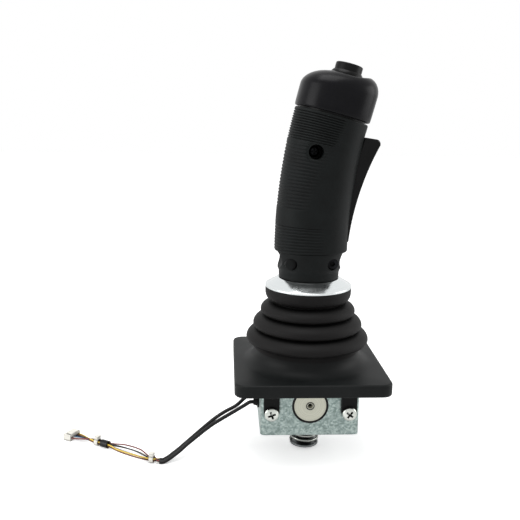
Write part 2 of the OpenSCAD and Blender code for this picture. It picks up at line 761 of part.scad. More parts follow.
module neck_collar() {
    swell = collar_top_r - collar_foot_r;
    color("#18191a") difference() {
        union() {
            rotate_extrude() polygon([[tube_bore / 2, collar_z],
                [collar_foot_r - 0.6, collar_z], [collar_foot_r, collar_z + 0.8],
                [collar_foot_r + swell * 0.1, collar_z + collar_h * 0.24],
                [collar_foot_r + swell * 0.6, collar_z + collar_h * 0.42],
                [collar_foot_r + swell * 0.8, collar_z + collar_h * 0.7],
                [collar_top_r, grip_z - 0.8], [collar_top_r - 0.5, grip_z],
                [tube_bore / 2, grip_z]]);
            translate([0, 0, grip_z - 1]) tube(2 * plug_r, tube_bore, plug_len + 1);
        }
        at_collar_sides(collar_foot_r + swell * 0.7) {
            translate([0, 0, -1]) cylinder(d = sink_d, h = 1 + eps);
            cylinder(d1 = sink_d, d2 = clamp_screw_d + 2 * seat_gap, h = sink_depth);
            cylinder(d = clamp_screw_d + 2 * seat_gap, h = collar_foot_r);
        }
        at_collar_holes(collar_hole_floor) cylinder(d = collar_hole_d, h = collar_top_r);
    }
}

// A cylinder-head screw in each of the collar's screw holes.
module collar_screws() {
    head_d = collar_hole_d - 2 * seat_gap;
    color("#33363a") at_collar_holes(collar_hole_floor) difference() {
        cylinder(d = head_d, h = collar_screw_h);
        translate([0, 0, collar_screw_h - collar_socket_h])
            cylinder(d = head_d * 0.5, h = collar_socket_h + eps, $fn = 6);
    }
}

// Headless screws that clamp the collar on the tube.
module clamp_screws() {
    reach = collar_foot_r - sink_depth;
    color("#4a4d50") at_collar_sides(reach) difference() {
        cylinder(d = clamp_screw_d, h = reach - shaft_d / 2 - 0.1);
        translate([0, 0, -eps]) cylinder(d = clamp_screw_d * 0.55, h = 2, $fn = 6);
    }
}

// ---- Grip ----

// Sweeps half of an oval ring along the grip's arc: side is -1 in front and 1 behind.
module grip_sweep(side, inner_a, inner_b) {
    from = side > 0 ? 0 : 180;
    rim = concat(oval(grip_a, grip_b, from, from + 180, section_steps),
        inner_a > 0 ? reversed(oval(inner_a, inner_b, from, from + 180, section_steps)) : []);
    translate([spine_x, 0, grip_z]) rotate([90, 0, 180]) rotate_extrude(angle = grip_lean)
        polygon([for (p = rim) [spine_r - p[0], p[1]]]);
}

// Places children on the grip screw's axis, with +Z out to the front.
module at_grip_screw() {
    translate([grip_screw_x, 0, screw_z]) rotate([90, 0, 0]) children();
}

// Places children on the trigger's pin, with +Z along +Y.
module at_trigger_pin() {
    translate([pivot_x, 0, pivot_z]) along_y() children();
}

// The slot that the trigger swings in, open to the front of the hand.
module trigger_slot() {
    lean = tan(grip_lean);
    low = -trigger_tail - trigger_top_gap / 2;
    high = trigger_len + trigger_top_gap;
    translate([pivot_x, trigger_slot_w / 2, pivot_z]) rotate([90, 0, 0])
        linear_extrude(trigger_slot_w) polygon([[-trigger_eye_r - 1, low],
            [trigger_tip_x * 2, low], [trigger_tip_x * 2, high - lean * trigger_tip_x],
            [0, high + lean * trigger_tip_x], [-trigger_eye_r - 1, high]]);
}

module grip_shell(side) {
    pin_boss = grip_b;
    difference() {
        union() {
            grip_sweep(side, grip_a - grip_wall, grip_b - grip_wall);
            intersection() {
                grip_sweep(side, 0, 0);
                union() {
                    at_grip_screw() translate([0, 0, side > 0 ? -grip_b : 0])
                        cylinder(d = screw_boss_d, h = grip_b);
                    at_trigger_pin() translate([0, 0, side > 0 ? 0 : -pin_boss])
                        cylinder(d = trigger_boss_d, h = pin_boss);
                }
            }
        }
        trigger_slot();
        at_trigger_pin() translate([0, 0, -trigger_pin_len / 2 - free_gap])
            cylinder(d = trigger_pin_d + 2 * seat_gap, h = trigger_pin_len + 2 * free_gap);
        at_grip_screw() translate([0, 0, -grip_b / 2])
            cylinder(d = grip_screw_d + 2 * seat_gap, h = grip_b);
        at_grip_screw() translate([0, 0, grip_b - recess_depth])
            cylinder(d = recess_d, h = recess_depth);
    }
}

module grip_front() {
    color("#232527") grip_shell(-1);
}

module grip_back() {
    color("#232527") grip_shell(1);
}

module grip_screw() {
    color("#2b2d30") at_grip_screw() translate([0, 0, grip_b - recess_depth])
        pan_screw(grip_screw_d, grip_screw_d * 2, screw_head_depth, grip_b - recess_depth + 6);
}

module trigger_pin() {
    color("#b9bbbc") at_trigger_pin() translate([0, 0, -trigger_pin_len / 2])
        cylinder(d = trigger_pin_d, h = trigger_pin_len);
}

module trigger() {
    foot = [trigger_foot_x, -trigger_tail];
    tip = [trigger_tip_x, trigger_len - 3.4];
    chord = tip - foot;
    across = [chord[1], -chord[0]] / norm(chord);
    sagitta = trigger_face_r - sqrt(pow(trigger_face_r, 2) - pow(norm(chord) / 2, 2));
    face_centre = (foot + tip) / 2 + across * (trigger_face_r - sagitta);
    lean = tan(grip_lean);
    back_x = trigger_tip_x - trigger_tip_t;
    color("#151617") translate([pivot_x, trigger_w / 2, pivot_z]) rotate([90, 0, 0])
        linear_extrude(trigger_w) difference() {
            union() {
                polygon(concat([[-trigger_eye_r, 0], [0, -trigger_tail], foot, tip],
                    arc(tip - [trigger_round, 0] + [0, 0.6], trigger_round, 0,
                        90 - grip_lean, 5),
                    [[back_x, trigger_len + lean * trigger_tip_t / 3]]));
                circle(r = trigger_eye_r);
            }
            translate(face_centre) circle(r = trigger_face_r, $fn = 360);
            circle(d = trigger_pin_d + 2 * run_gap);
        }
}

// ---- Head ----

// One level of the cap's form: its height and how far it is drawn in.
function cap_ring(z, inset, shift) = [for (p = oval(grip_a + cap_over / 2 - inset,
    grip_b + cap_over / 2 - inset, 0, 360 - 360 / 48, 47))
    [p[0] + shift, p[1], z + cap_rise * p[0] * z / cap_h]];

module head_cap() {
    shoulder = cap_h - cap_round_h;
    color("#131416") at_head() difference() {
        union() {
            difference() {
                loft(concat([cap_ring(cap_gap, 1, 0), cap_ring(cap_gap + 0.9, 0.15, 0),
                    cap_ring(shoulder * 0.6, 0, 0)],
                    [for (t = [0:10:90]) cap_ring(shoulder + cap_round_h * sin(t),
                        cap_round_w * (1 - cos(t)), cap_shift * (1 - cos(t)))]));
                translate([button_x, 0, cap_h + saddle_r - saddle_depth]) rotate([90, 0, 0])
                    cylinder(r = saddle_r, h = far, center = true, $fn = 180);
            }
            cylinder(r = cap_step_r, h = cap_gap + 1);
            translate([0, 0, -cap_spigot_len]) cylinder(r = cap_spigot_r, h = cap_spigot_len + 1);
        }
        translate([button_x, 0, -far / 2]) cylinder(d = bezel_seat_d, h = far);
        translate([0, 0, -cap_spigot_len - eps])
            cylinder(r = cap_spigot_r - cap_wall, h = cap_spigot_len + shoulder - cap_wall);
    }
}

module button_bezel() {
    color("#0f0f10") at_head() translate([button_x, 0, bezel_foot])
        tube(bezel_d, bezel_bore, bezel_len);
}

module button_switch() {
    color("#3a3a3a") at_head() translate([button_x, 0, bezel_foot - switch_h])
        translate([-switch_w / 2, -switch_w / 2, 0]) cube([switch_w, switch_w, switch_h]);
}

module button() {
    rim = button_d / 2 - button_round;
    color("#0e0f10") at_head() translate([button_x, 0, 0]) rotate_extrude()
        polygon(concat([[0, button_foot], [button_d / 2, button_foot]],
            arc([rim, button_top - button_round], button_round, 0, 90, 4), [[0, button_top]]));
}

// ---- Cables ----

module cable_a() {
    color("#0d0d0d") cord(cable_a_route, cable_d);
}

module cable_b() {
    color("#0d0d0d") cord(cable_b_route, cable_d);
}

// The end of each sheath, where its three leads come out.
sheath_ends = [cable_a_route[len(cable_a_route) - 1], cable_b_route[len(cable_b_route) - 1]];

function level(angle) = [cos(angle), sin(angle), 0];

// A lead's place in a bundle that heads along a level angle.
function in_bundle(i, angle) =
    slot_pitch * (level(angle - 90) * lead_slots[i][0] + [0, 0, lead_slots[i][1]]);

// The route of lead i, which strays from the others between the sheath tie and the sleeve.
function lead_route(i) =
    let (run = level(run_angle), aside = level(run_angle - 90), tie_run = level(sheath_tie_angle),
        start = sheath_ends[lead_starts[i][0]] + [0, lead_starts[i][1], lead_starts[i][2]],
        tie = sheath_tie_at + in_bundle(i, sheath_tie_angle),
        entry = sleeve_at - run * (sleeve_len / 2 + 0.6) + in_bundle(i, run_angle),
        leave = lead_tie_at + run * (tie_w / 2 + 0.6) + in_bundle(i, run_angle),
        stray = (aside * lead_strays[i][0] + [0, 0, lead_strays[i][1]]) * 0.8,
        pin = plug_face_at + aside * (2.5 - lead_pins[i]) * pin_pitch)
    [start, start - [1, 0, 0], tie - tie_run * (tie_w / 2 + 0.3), tie + tie_run * (tie_w / 2 + 0.3),
        tie * 0.7 + entry * 0.3 + stray, tie * 0.34 + entry * 0.66 + stray,
        entry, leave, pin - run * 2.2, pin];

module lead(i, tone) {
    color(tone) cord(lead_route(i), lead_d);
}

module lead_yellow() {
    lead(0, "#d8b21c");
}

module lead_brown() {
    lead(1, "#a8622a");
}

module lead_black() {
    lead(2, "#151515");
}

module lead_maroon() {
    lead(3, "#5a2a34");
}

module lead_white() {
    lead(4, "#e6e4dc");
}

module lead_blue() {
    lead(5, "#a9c3cc");
}

// A cable tie's band round the bundle, with its lock on top.
module tie_band() {
    along_x() translate([0, 0, -tie_w / 2]) tube(2 * (bundle_r + band_t), 2 * bundle_r, tie_w);
    translate([-tie_w / 2, -1.6, bundle_r + band_t / 2]) cube([tie_w, 3.2, 1.8]);
}

module sheath_tie() {
    color("#ecebe6") translate(sheath_tie_at) rotate(sheath_tie_angle) tie_band();
}

module lead_sleeve() {
    color("#0c0c0c") translate(sleeve_at) rotate(run_angle) along_x()
        translate([0, 0, -sleeve_len / 2]) tube(2 * (bundle_r + band_t), 2 * bundle_r, sleeve_len);
}

module lead_tie() {
    color("#ecebe6") translate(lead_tie_at) rotate(run_angle) tie_band();
}

module connector() {
    color("#e9e6dc") translate(plug_face_at) rotate(run_angle) difference() {
        union() {
            translate([0, -plug_body_w / 2, -plug_body_h / 2])
                cube([plug_body_l, plug_body_w, plug_body_h]);
            translate([0, -plug_body_w / 2 + 1.2, plug_body_h / 2 - eps])
                cube([plug_body_l - 1.6, plug_body_w - 2.4, 0.6]);
        }
        for (i = [0:5])
            translate([plug_body_l - 1.8, (i - 2.5) * pin_pitch - 0.35, -0.5])
                cube([2, 0.7, 1]);
    }
}

skirt();
mounting_plate();
housing();
tab_screws();
pivot_bushes();
cable_grommets();
sensor_board();
gimbal_frame();
cross_pin();
sensor_magnet();
hub();
lever_tube();
spring_seat();
return_spring();
spring_washer();
retaining_clip();
bellows();
clamp_ring();
neck_collar();
collar_screws();
clamp_screws();
grip_front();
grip_back();
grip_screw();
trigger_pin();
trigger();
head_cap();
button_bezel();
button_switch();
button();
cable_a();
cable_b();
lead_yellow();
lead_brown();
lead_black();
lead_maroon();
lead_white();
lead_blue();
sheath_tie();
lead_sleeve();
lead_tie();
connector();
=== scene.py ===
"""Looks of an industrial joystick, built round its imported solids.

Sizes in the classes are in millimetres, in the part's own frame.
"""

import logging
import math
from dataclasses import dataclass
from enum import Enum
from typing import Any, Callable, Sequence

import bmesh
import bpy
from mathutils import Matrix, Vector


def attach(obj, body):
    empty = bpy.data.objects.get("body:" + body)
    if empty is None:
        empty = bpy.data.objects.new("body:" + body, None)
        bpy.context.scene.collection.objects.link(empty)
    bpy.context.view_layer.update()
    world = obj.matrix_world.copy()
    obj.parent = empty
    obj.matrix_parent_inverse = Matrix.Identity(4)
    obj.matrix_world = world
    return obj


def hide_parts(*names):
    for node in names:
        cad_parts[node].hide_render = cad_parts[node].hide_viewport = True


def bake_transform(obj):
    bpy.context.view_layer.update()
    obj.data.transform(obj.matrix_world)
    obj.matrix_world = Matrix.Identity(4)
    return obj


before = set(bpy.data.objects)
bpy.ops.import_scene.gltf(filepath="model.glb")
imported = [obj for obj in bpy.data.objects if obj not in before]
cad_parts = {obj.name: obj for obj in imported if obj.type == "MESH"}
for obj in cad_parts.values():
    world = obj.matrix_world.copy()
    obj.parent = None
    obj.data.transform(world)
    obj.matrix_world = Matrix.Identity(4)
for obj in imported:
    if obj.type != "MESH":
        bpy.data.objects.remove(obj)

LOG = logging.getLogger("joystick")
MM = 0.001
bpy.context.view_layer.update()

Point = tuple[float, float, float]
Profile = list[tuple[float, float]]


# ---- Materials ----


def linear(hex_colour: str) -> tuple[float, float, float, float]:
    """Turns an sRGB hex colour into the linear colour that a shader takes.

    Args:
        hex_colour: Six hex digits after a hash.

    Returns:
        Red, green, blue and alpha.
    """
    parts = [int(hex_colour[i : i + 2], 16) / 255 for i in (1, 3, 5)]
    red, green, blue = (
        c / 12.92 if c <= 0.04045 else ((c + 0.055) / 1.055) ** 2.4 for c in parts
    )
    return red, green, blue, 1.0


def add_node(
    tree: bpy.types.NodeTree, kind: str, inputs: dict[Any, Any] | None = None, **settings: Any
) -> bpy.types.Node:
    """Adds a node with its settings and links.

    Args:
        tree: The node tree that takes the node.
        kind: The node's type.
        inputs: Input sockets by name or index, each with a value or a socket to link from.
        **settings: The node's own properties.

    Returns:
        The new node.
    """
    node = tree.nodes.new(kind)
    for name, value in settings.items():
        setattr(node, name, value)
    for key, value in (inputs or {}).items():
        if isinstance(value, bpy.types.NodeSocket):
            tree.links.new(value, node.inputs[key])
        else:
            node.inputs[key].default_value = value
    return node


class Texture(Enum):
    """What a surface shows close up."""

    GRAIN = "fine spark-eroded or rubber grain"
    CAST = "cold mottling of die-cast metal"
    TURNED_Z = "lathe rings round the upright axis"
    TURNED_Y = "lathe rings round a crosswise axis"
    PLAIN = "even extruded or ground surface"


@dataclass(frozen=True)
class Finish:
    """A real material and how its surface was made.

    Attributes:
        name: Material and process.
        tone: Main colour, sRGB hex.
        second: Colour that the main one wanders to.
        texture: What the surface shows close up.
        pitch: Size of the pattern in millimetres.
        depth: Height of the pattern in millimetres.
        roughness: Middle roughness.
        metallic: 1 for a bare metal.
        specular: Specular level of a dielectric.
        centre: A point in millimetres on the axis of a turned surface.
        edge: Radius in millimetres that softens sharp edges.
        hollow: Reach in millimetres of the painted shade that darkens hollows.
    """

    name: str
    tone: str
    second: str
    texture: Texture = Texture.GRAIN
    pitch: float = 0.6
    depth: float = 0.02
    roughness: float = 0.5
    metallic: float = 0.0
    specular: float = 0.4
    centre: Point = (0.0, 0.0, 0.0)
    edge: float = 0.0
    hollow: float = 1.5

    def material(self) -> bpy.types.Material:
        """Builds the finish once, and returns it again after that."""
        found = bpy.data.materials.get(self.name)
        if found:
            return found
        material = bpy.data.materials.new(self.name)
        material.use_nodes = True
        tree = material.node_tree
        tree.nodes.clear()
        place = add_node(tree, "ShaderNodeTexCoord").outputs["Object"]
        height, mottle = self._pattern(tree, place)
        shader = add_node(
            tree,
            "ShaderNodeBsdfPrincipled",
            {
                "Base Color": self._shaded(tree, self._ramp(tree, mottle, self.tone, self.second)),
                "Metallic": self.metallic,
                "Roughness": self._spread(tree, mottle),
            },
        )
        if not self.metallic:
            shader.inputs["Specular IOR Level"].default_value = self.specular
        bump = {"Height": height, "Distance": self.depth * MM, "Strength": 0.8}
        if self.edge:
            bump["Normal"] = add_node(
                tree, "ShaderNodeBevel", {"Radius": self.edge * MM}, samples=4
            ).outputs[0]
        tree.links.new(add_node(tree, "ShaderNodeBump", bump).outputs[0], shader.inputs["Normal"])
        add_node(tree, "ShaderNodeOutputMaterial", {"Surface": shader.outputs[0]})
        return material

    def _ramp(
        self, tree: bpy.types.NodeTree, factor: bpy.types.NodeSocket, low: str, high: str
    ) -> bpy.types.NodeSocket:
        """Returns a colour that runs from low to high with the factor."""
        ramp = add_node(tree, "ShaderNodeValToRGB", {"Fac": factor})
        ramp.color_ramp.elements[0].position = 0.3
        ramp.color_ramp.elements[1].position = 0.7
        ramp.color_ramp.elements[0].color = linear(low)
        ramp.color_ramp.elements[1].color = linear(high)
        return ramp.outputs["Color"]

    def _shaded(
        self, tree: bpy.types.NodeTree, colour: bpy.types.NodeSocket
    ) -> bpy.types.NodeSocket:
        """Returns the colour with painted shade where the surface is shut in."""
        open_sky = add_node(
            tree, "ShaderNodeAmbientOcclusion", {"Distance": self.hollow * MM}, samples=6
        ).outputs["AO"]
        unshaded_share = add_node(
            tree, "ShaderNodeMapRange", {"Value": open_sky, "From Min": 0.35, "From Max": 0.95}
        ).outputs[0]
        # Painted shade: the colour is mixed towards near-black #050505 where ambient occlusion finds the surface
        # shut in.
        mixed = add_node(
            tree, "ShaderNodeMix", {0: unshaded_share, 6: linear("#050505"), 7: colour}, data_type="RGBA"
        )
        return mixed.outputs[2]

    def _spread(
        self, tree: bpy.types.NodeTree, factor: bpy.types.NodeSocket
    ) -> bpy.types.NodeSocket:
        """Returns a roughness that wanders a little round the middle one."""
        return add_node(
            tree,
            "ShaderNodeMapRange",
            {
                "Value": factor,
                "To Min": self.roughness * 0.88,
                "To Max": min(1.0, self.roughness * 1.12),
            },
        ).outputs[0]

    def _noise(
        self, tree: bpy.types.NodeTree, place: bpy.types.NodeSocket, size: float, detail: float
    ) -> bpy.types.NodeSocket:
        """Returns noise whose blotches are about size millimetres across."""
        return add_node(
            tree,
            "ShaderNodeTexNoise",
            {"Vector": place, "Scale": 1 / (size * MM), "Detail": detail, "Roughness": 0.55},
        ).outputs["Fac"]

    def _pattern(
        self, tree: bpy.types.NodeTree, place: bpy.types.NodeSocket
    ) -> tuple[bpy.types.NodeSocket, bpy.types.NodeSocket]:
        """Makes the surface's height and its slow change of tone.

        Args:
            tree: The material's node tree.
            place: Object coordinates.

        Returns:
            The height for bump, and the mottling factor.
        """
        slow = self._noise(tree, place, self.pitch * 14, 3.0)
        if self.texture is Texture.CAST:
            # Crystals of a few millimetres, each with its own grey, under a blotchy haze.
            cells = add_node(
                tree,
                "ShaderNodeTexVoronoi",
                {
                    "Vector": add_node(
                        tree,
                        "ShaderNodeVectorMath",
                        {
                            0: place,
                            1: add_node(
                                tree,
                                "ShaderNodeVectorMath",
                                {
                                    0: add_node(
                                        tree,
                                        "ShaderNodeTexNoise",
                                        {"Vector": place, "Scale": 0.35 / (self.pitch * MM)},
                                    ).outputs["Color"],
                                    "Scale": 1.6 * self.pitch * MM,
                                },
                                operation="SCALE",
                            ).outputs[0],
                        },
                        operation="ADD",
                    ).outputs[0],
                    "Scale": 0.7 / (self.pitch * MM),
                },
                feature="SMOOTH_F1",
            ).outputs["Color"]
            mixed = add_node(
                tree,
                "ShaderNodeMath",
                {
                    0: add_node(tree, "ShaderNodeSeparateColor", {0: cells}).outputs[0],
                    1: self._noise(tree, place, self.pitch * 1.5, 5.0),
                },
                operation="ADD",
            ).outputs[0]
            half = add_node(
                tree, "ShaderNodeMath", {0: mixed, 1: 0.5}, operation="MULTIPLY"
            ).outputs[0]
            return self._noise(tree, place, self.pitch * 0.3, 4.0), half
        if self.texture in (Texture.TURNED_Z, Texture.TURNED_Y):
            flat = (1, 1, 0) if self.texture is Texture.TURNED_Z else (1, 0, 1)
            from_axis = add_node(
                tree,
                "ShaderNodeVectorMath",
                {0: place, 1: [c * MM for c in self.centre]},
                operation="SUBTRACT",
            ).outputs[0]
            radial = add_node(
                tree, "ShaderNodeVectorMath", {0: from_axis, 1: flat}, operation="MULTIPLY"
            ).outputs[0]
            radius = add_node(
                tree, "ShaderNodeVectorMath", {0: radial}, operation="LENGTH"
            ).outputs["Value"]
            rings = add_node(
                tree,
                "ShaderNodeTexNoise",
                {"W": radius, "Scale": 1 / (self.pitch * MM), "Detail": 3.0},
                noise_dimensions="1D",
            ).outputs["Fac"]
            return rings, rings
        return self._noise(tree, place, self.pitch, 3.0), slow


# Glass-filled nylon, moulded in a fine spark-eroded tool: a dry grey-black with soft highlights.
GRIP_NYLON = Finish("grip_nylon_moulded", "#0d0f0f", "#131616", roughness=0.52, specular=0.11,
    hollow=1.2)
# The same family from a smoother tool: deeper black and a tighter highlight.
HEAD_NYLON = Finish(
    "head_nylon_moulded_smooth", "#07070a", "#0b0b0e", depth=0.006, roughness=0.3, specular=0.12
)
# Acetal, moulded smooth: the polish of a worn finger piece.
FINGER_ACETAL = Finish(
    "finger_acetal_moulded", "#090909", "#0e0e0f", depth=0.006, roughness=0.34, specular=0.13
)
# Neoprene, moulded: warm matt black that scatters light at its rims.
# Its wide hollow reach paints shade into the folds, darkest under each crest.
BOOT_RUBBER = Finish(
    "boot_neoprene_moulded", "#0e0d0d", "#131212", pitch=0.9, roughness=0.6, specular=0.14,
    hollow=9.0
)
# The skirt's rubber is a little greyer, with bloom.
# Its wide hollow reach paints shade where the skirt rises under the lowest fold.
SKIRT_RUBBER = Finish(
    "skirt_neoprene_moulded", "#0f1111", "#161818", pitch=1.1, roughness=0.46, specular=0.13,
    hollow=8.0
)
# Glass-filled nylon of the plate and its tabs.
PLATE_NYLON = Finish("plate_nylon_moulded", "#0a0b0b", "#0f1010", roughness=0.6, specular=0.15, edge=0.3)
# Die-cast zinc alloy, tumbled: cold blue-grey with frost-like crystals.
CAST_ZINC = Finish(
    "housing_zinc_diecast",
    "#7b8b87",
    "#b2c0bc",
    Texture.CAST,
    pitch=0.7,
    depth=0.05,
    roughness=0.4,
    metallic=0.85,
    edge=0.5,
    hollow=1.2,
)
# The trunnion's face, turned after casting: warm pale grey with fine rings.
TURNED_ZINC = Finish(
    "gimbal_zinc_turned",
    "#a9aa9c",
    "#cfcfc0",
    Texture.TURNED_Y,
    pitch=0.25,
    depth=0.01,
    roughness=0.36,
    metallic=0.8,
    centre=(0.0, 0.0, -12.0),
    edge=0.2,
)
# Aluminium, turned bright: clear reflections drawn out along fine rings.
TURNED_ALUMINIUM = Finish(
    "ring_aluminium_turned",
    "#d4dadb",
    "#eef1f1",
    Texture.TURNED_Z,
    pitch=0.2,
    depth=0.006,
    roughness=0.16,
    metallic=1.0,
    hollow=0.6,
)
# Steel screws with bright zinc plating.
ZINC_PLATE = Finish(
    "screw_steel_zinc_plated", "#b7bcb6", "#e2e5de", pitch=0.5, depth=0.01, roughness=0.27,
    metallic=1.0, edge=0.15,
)
# Spring wire, drawn and oiled: grey, with painted shade darkening the hollows between coils.
SPRING_STEEL = Finish(
    "spring_steel_drawn", "#8c8e8a", "#c2c4bf", pitch=0.5, depth=0.01, roughness=0.24,
    metallic=1.0, hollow=3.0
)
# Ground steel of the tube, pin, hub and washer.
GROUND_STEEL = Finish(
    "shaft_steel_ground", "#8f9293", "#b9bcbd", pitch=0.4, depth=0.005, roughness=0.3,
    metallic=1.0, edge=0.2,
)
# Alloy steel screws with black oxide.
BLACK_STEEL = Finish(
    "screw_steel_black_oxide", "#17181a", "#232427", pitch=0.5, depth=0.01, roughness=0.4,
    metallic=0.9, edge=0.1, hollow=4.0,
)
# Acetal bushes and spring seat, turned.
BEARING_ACETAL = Finish(
    "bush_acetal_turned", "#080808", "#0d0d0d", Texture.PLAIN, roughness=0.4, specular=0.2
)
# PVC sheath of the cables: black, half gloss.
SHEATH_PVC = Finish(
    "sheath_pvc_extruded", "#0a0a0b", "#101011", Texture.PLAIN, depth=0.01, roughness=0.34,
    specular=0.25
)
# Natural nylon of the ties and the plug: milky white.
NATURAL_NYLON = Finish(
    "plug_nylon_natural", "#dedbd1", "#f0eee6", Texture.PLAIN, pitch=0.8, depth=0.01,
    roughness=0.42, edge=0.12,
)
# Glass-epoxy board under clear lacquer.
BOARD_EPOXY = Finish(
    "board_epoxy_lacquered", "#1f4a30", "#2f6544", Texture.PLAIN, roughness=0.35
)


def lead_pvc(name: str, tone: str, second: str) -> Finish:
    """PVC insulation of a thin lead: an even colour with a soft shine."""
    return Finish(
        f"lead_pvc_{name}", tone, second, Texture.PLAIN, pitch=0.5, depth=0.004, roughness=0.4
    )


# ---- Mesh tools ----


def mesh_object(
    name: str, points: Sequence[Sequence[float]], faces: Sequence[Sequence[int]], sharp: float = 35
) -> bpy.types.Object:
    """Makes a mesh object from points in millimetres.

    Args:
        name: The piece's name.
        points: Corner points.
        faces: Corner indices of each face.
        sharp: Angle in degrees over which an edge stays sharp.

    Returns:
        The object, linked to the scene.
    """
    mesh = bpy.data.meshes.new(name)
    mesh.from_pydata([[c * MM for c in p] for p in points], [], faces)
    whole = bmesh.new()
    whole.from_mesh(mesh)
    bmesh.ops.recalc_face_normals(whole, faces=whole.faces)
    whole.to_mesh(mesh)
    whole.free()
    obj = bpy.data.objects.new(name, mesh)
    bpy.context.collection.objects.link(obj)
    shade(obj, sharp)
    return obj


def shade(obj: bpy.types.Object, sharp: float = 35) -> None:
    """Shades an object smooth, with sharp edges over an angle in degrees."""
    obj.data.polygons.foreach_set("use_smooth", [True] * len(obj.data.polygons))
    obj.data.set_sharp_from_angle(angle=math.radians(sharp))


def lofted(
    name: str, rings: Sequence[Sequence[Sequence[float]]], loop: bool = False, sharp: float = 35
) -> bpy.types.Object:
    """Skins a stack of rings that have as many points each.

    Args:
        name: The piece's name.
        rings: Rings of points in millimetres.
        loop: True if the last ring joins the first, else flat faces close both ends.
        sharp: Angle in degrees over which an edge stays sharp.

    Returns:
        The new object.
    """
    n = len(rings[0])
    spans = [(k, (k + 1) % len(rings)) for k in range(len(rings) - (not loop))]
    faces = [
        (a * n + i, b * n + i, b * n + (i + 1) % n, a * n + (i + 1) % n)
        for a, b in spans
        for i in range(n)
    ]
    if not loop:
        faces += [tuple(range(n)), tuple((len(rings) - 1) * n + i for i in range(n))]
    return mesh_object(name, [p for ring in rings for p in ring], faces, sharp)


def circle(radius: float, z: float, angles: Sequence[float]) -> list[Point]:
    """Returns a level ring of points at the given angles in radians."""
    return [(radius * math.cos(a), radius * math.sin(a), z) for a in angles]


def turns(count: int) -> list[float]:
    """Returns count angles spread over a full turn, in radians."""
    return [2 * math.pi * i / count for i in range(count)]


def revolved(
    name: str, profile: Profile, count: int = 128, sharp: float = 35
) -> bpy.types.Object:
    """Turns a closed profile of radius and height round the upright axis.

    A profile whose first and last points lie on the axis is closed by its end faces.
    """
    on_axis = profile[0][0] < 1e-6 and profile[-1][0] < 1e-6
    kept = [p for p in profile if p[0] >= 1e-6]
    return lofted(name, [circle(r, z, turns(count)) for r, z in kept], not on_axis, sharp)


def filleted(line: Profile, radii: dict[int, float], steps: int = 5) -> Profile:
    """Rounds chosen corners of a closed outline.

    Args:
        line: The outline's corners.
        radii: Distance along both edges that the rounding takes, by corner.
        steps: Points on each rounding, less one.

    Returns:
        The outline with its rounded corners.
    """
    out: Profile = []
    for i, corner in enumerate(line):
        if i not in radii:
            out.append(corner)
            continue
        at = Vector(corner)
        before = Vector(line[i - 1]) - at
        after = Vector(line[(i + 1) % len(line)]) - at
        start = at + before.normalized() * min(radii[i], before.length * 0.49)
        end = at + after.normalized() * min(radii[i], after.length * 0.49)
        for k in range(steps + 1):
            t = k / steps
            spot = start * (1 - t) ** 2 + at * 2 * t * (1 - t) + end * t * t
            out.append((spot.x, spot.y))
    return out


def apply_modifiers(obj: bpy.types.Object, sharp: float = 35) -> None:
    """Turns an object's modifiers into its mesh."""
    bpy.context.view_layer.update()
    shown = obj.evaluated_get(bpy.context.evaluated_depsgraph_get())
    mesh = bpy.data.meshes.new_from_object(shown)
    obj.modifiers.clear()
    old, obj.data = obj.data, mesh
    bpy.data.meshes.remove(old)
    shade(obj, sharp)


def cut(obj: bpy.types.Object, cutters: Sequence[bpy.types.Object], sharp: float = 35) -> None:
    """Takes the cutters out of an object, and deletes them."""
    for cutter in cutters:
        modifier = obj.modifiers.new("cut", "BOOLEAN")
        modifier.operation = "DIFFERENCE"
        modifier.solver = "EXACT"
        modifier.object = cutter
    apply_modifiers(obj, sharp)
    for cutter in cutters:
        bpy.data.objects.remove(cutter)


def softened(obj: bpy.types.Object, width: float, steps: int = 3, over: float = 30) -> None:
    """Rounds an object's edges that bend by more than an angle, by a width in millimetres."""
    modifier = obj.modifiers.new("soft", "BEVEL")
    modifier.width = width * MM
    modifier.segments = steps
    modifier.limit_method = "ANGLE"
    modifier.angle_limit = math.radians(over)
    apply_modifiers(obj)


def cylinder(
    name: str, radius: float, start: Point, along: Point, top: float | None = None
) -> bpy.types.Object:
    """Makes a round bar from a start point along a vector, with another top radius if given."""
    axis = Vector(along)
    turn = axis.to_track_quat("Z", "Y").to_matrix()
    ends = ((radius, 0.0), (radius if top is None else top, axis.length))
    rings = [
        [tuple(turn @ Vector(p) + Vector(start)) for p in circle(r, z, turns(64))]
        for r, z in ends
    ]
    return lofted(name, rings)


def block(name: str, low: Point, high: Point) -> bpy.types.Object:
    """Makes a box between two corners."""
    (x0, y0, z0), (x1, y1, z1) = low, high
    rings = [[(x0, y0, z), (x1, y0, z), (x1, y1, z), (x0, y1, z)] for z in (z0, z1)]
    return lofted(name, rings)


def dress(obj: bpy.types.Object, finish: Finish) -> None:
    """Gives every face of an object one finish."""
    if not obj.material_slots:
        obj.data.materials.append(None)
    for slot in obj.material_slots:
        slot.link = "OBJECT"
        slot.material = finish.material()


def place(
    obj: bpy.types.Object, body: str, finish: Finish, slot: str, nodes: Sequence[str] = ()
) -> bpy.types.Object:
    """Dresses a new piece, sets it on a body, and lets it stand for solids.

    Args:
        obj: The piece.
        body: The body that it rides on.
        finish: Its finish.
        slot: A material slot's name; not used.
        nodes: The solids that it stands for.

    Returns:
        The piece.
    """
    dress(obj, finish)
    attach(obj, body)
    if nodes:
        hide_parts(*nodes)
    LOG.info("%s rides on %s, stands for %s", obj.name, body, ", ".join(nodes) or "nothing")
    return obj


# ---- Camera, light and floor ----


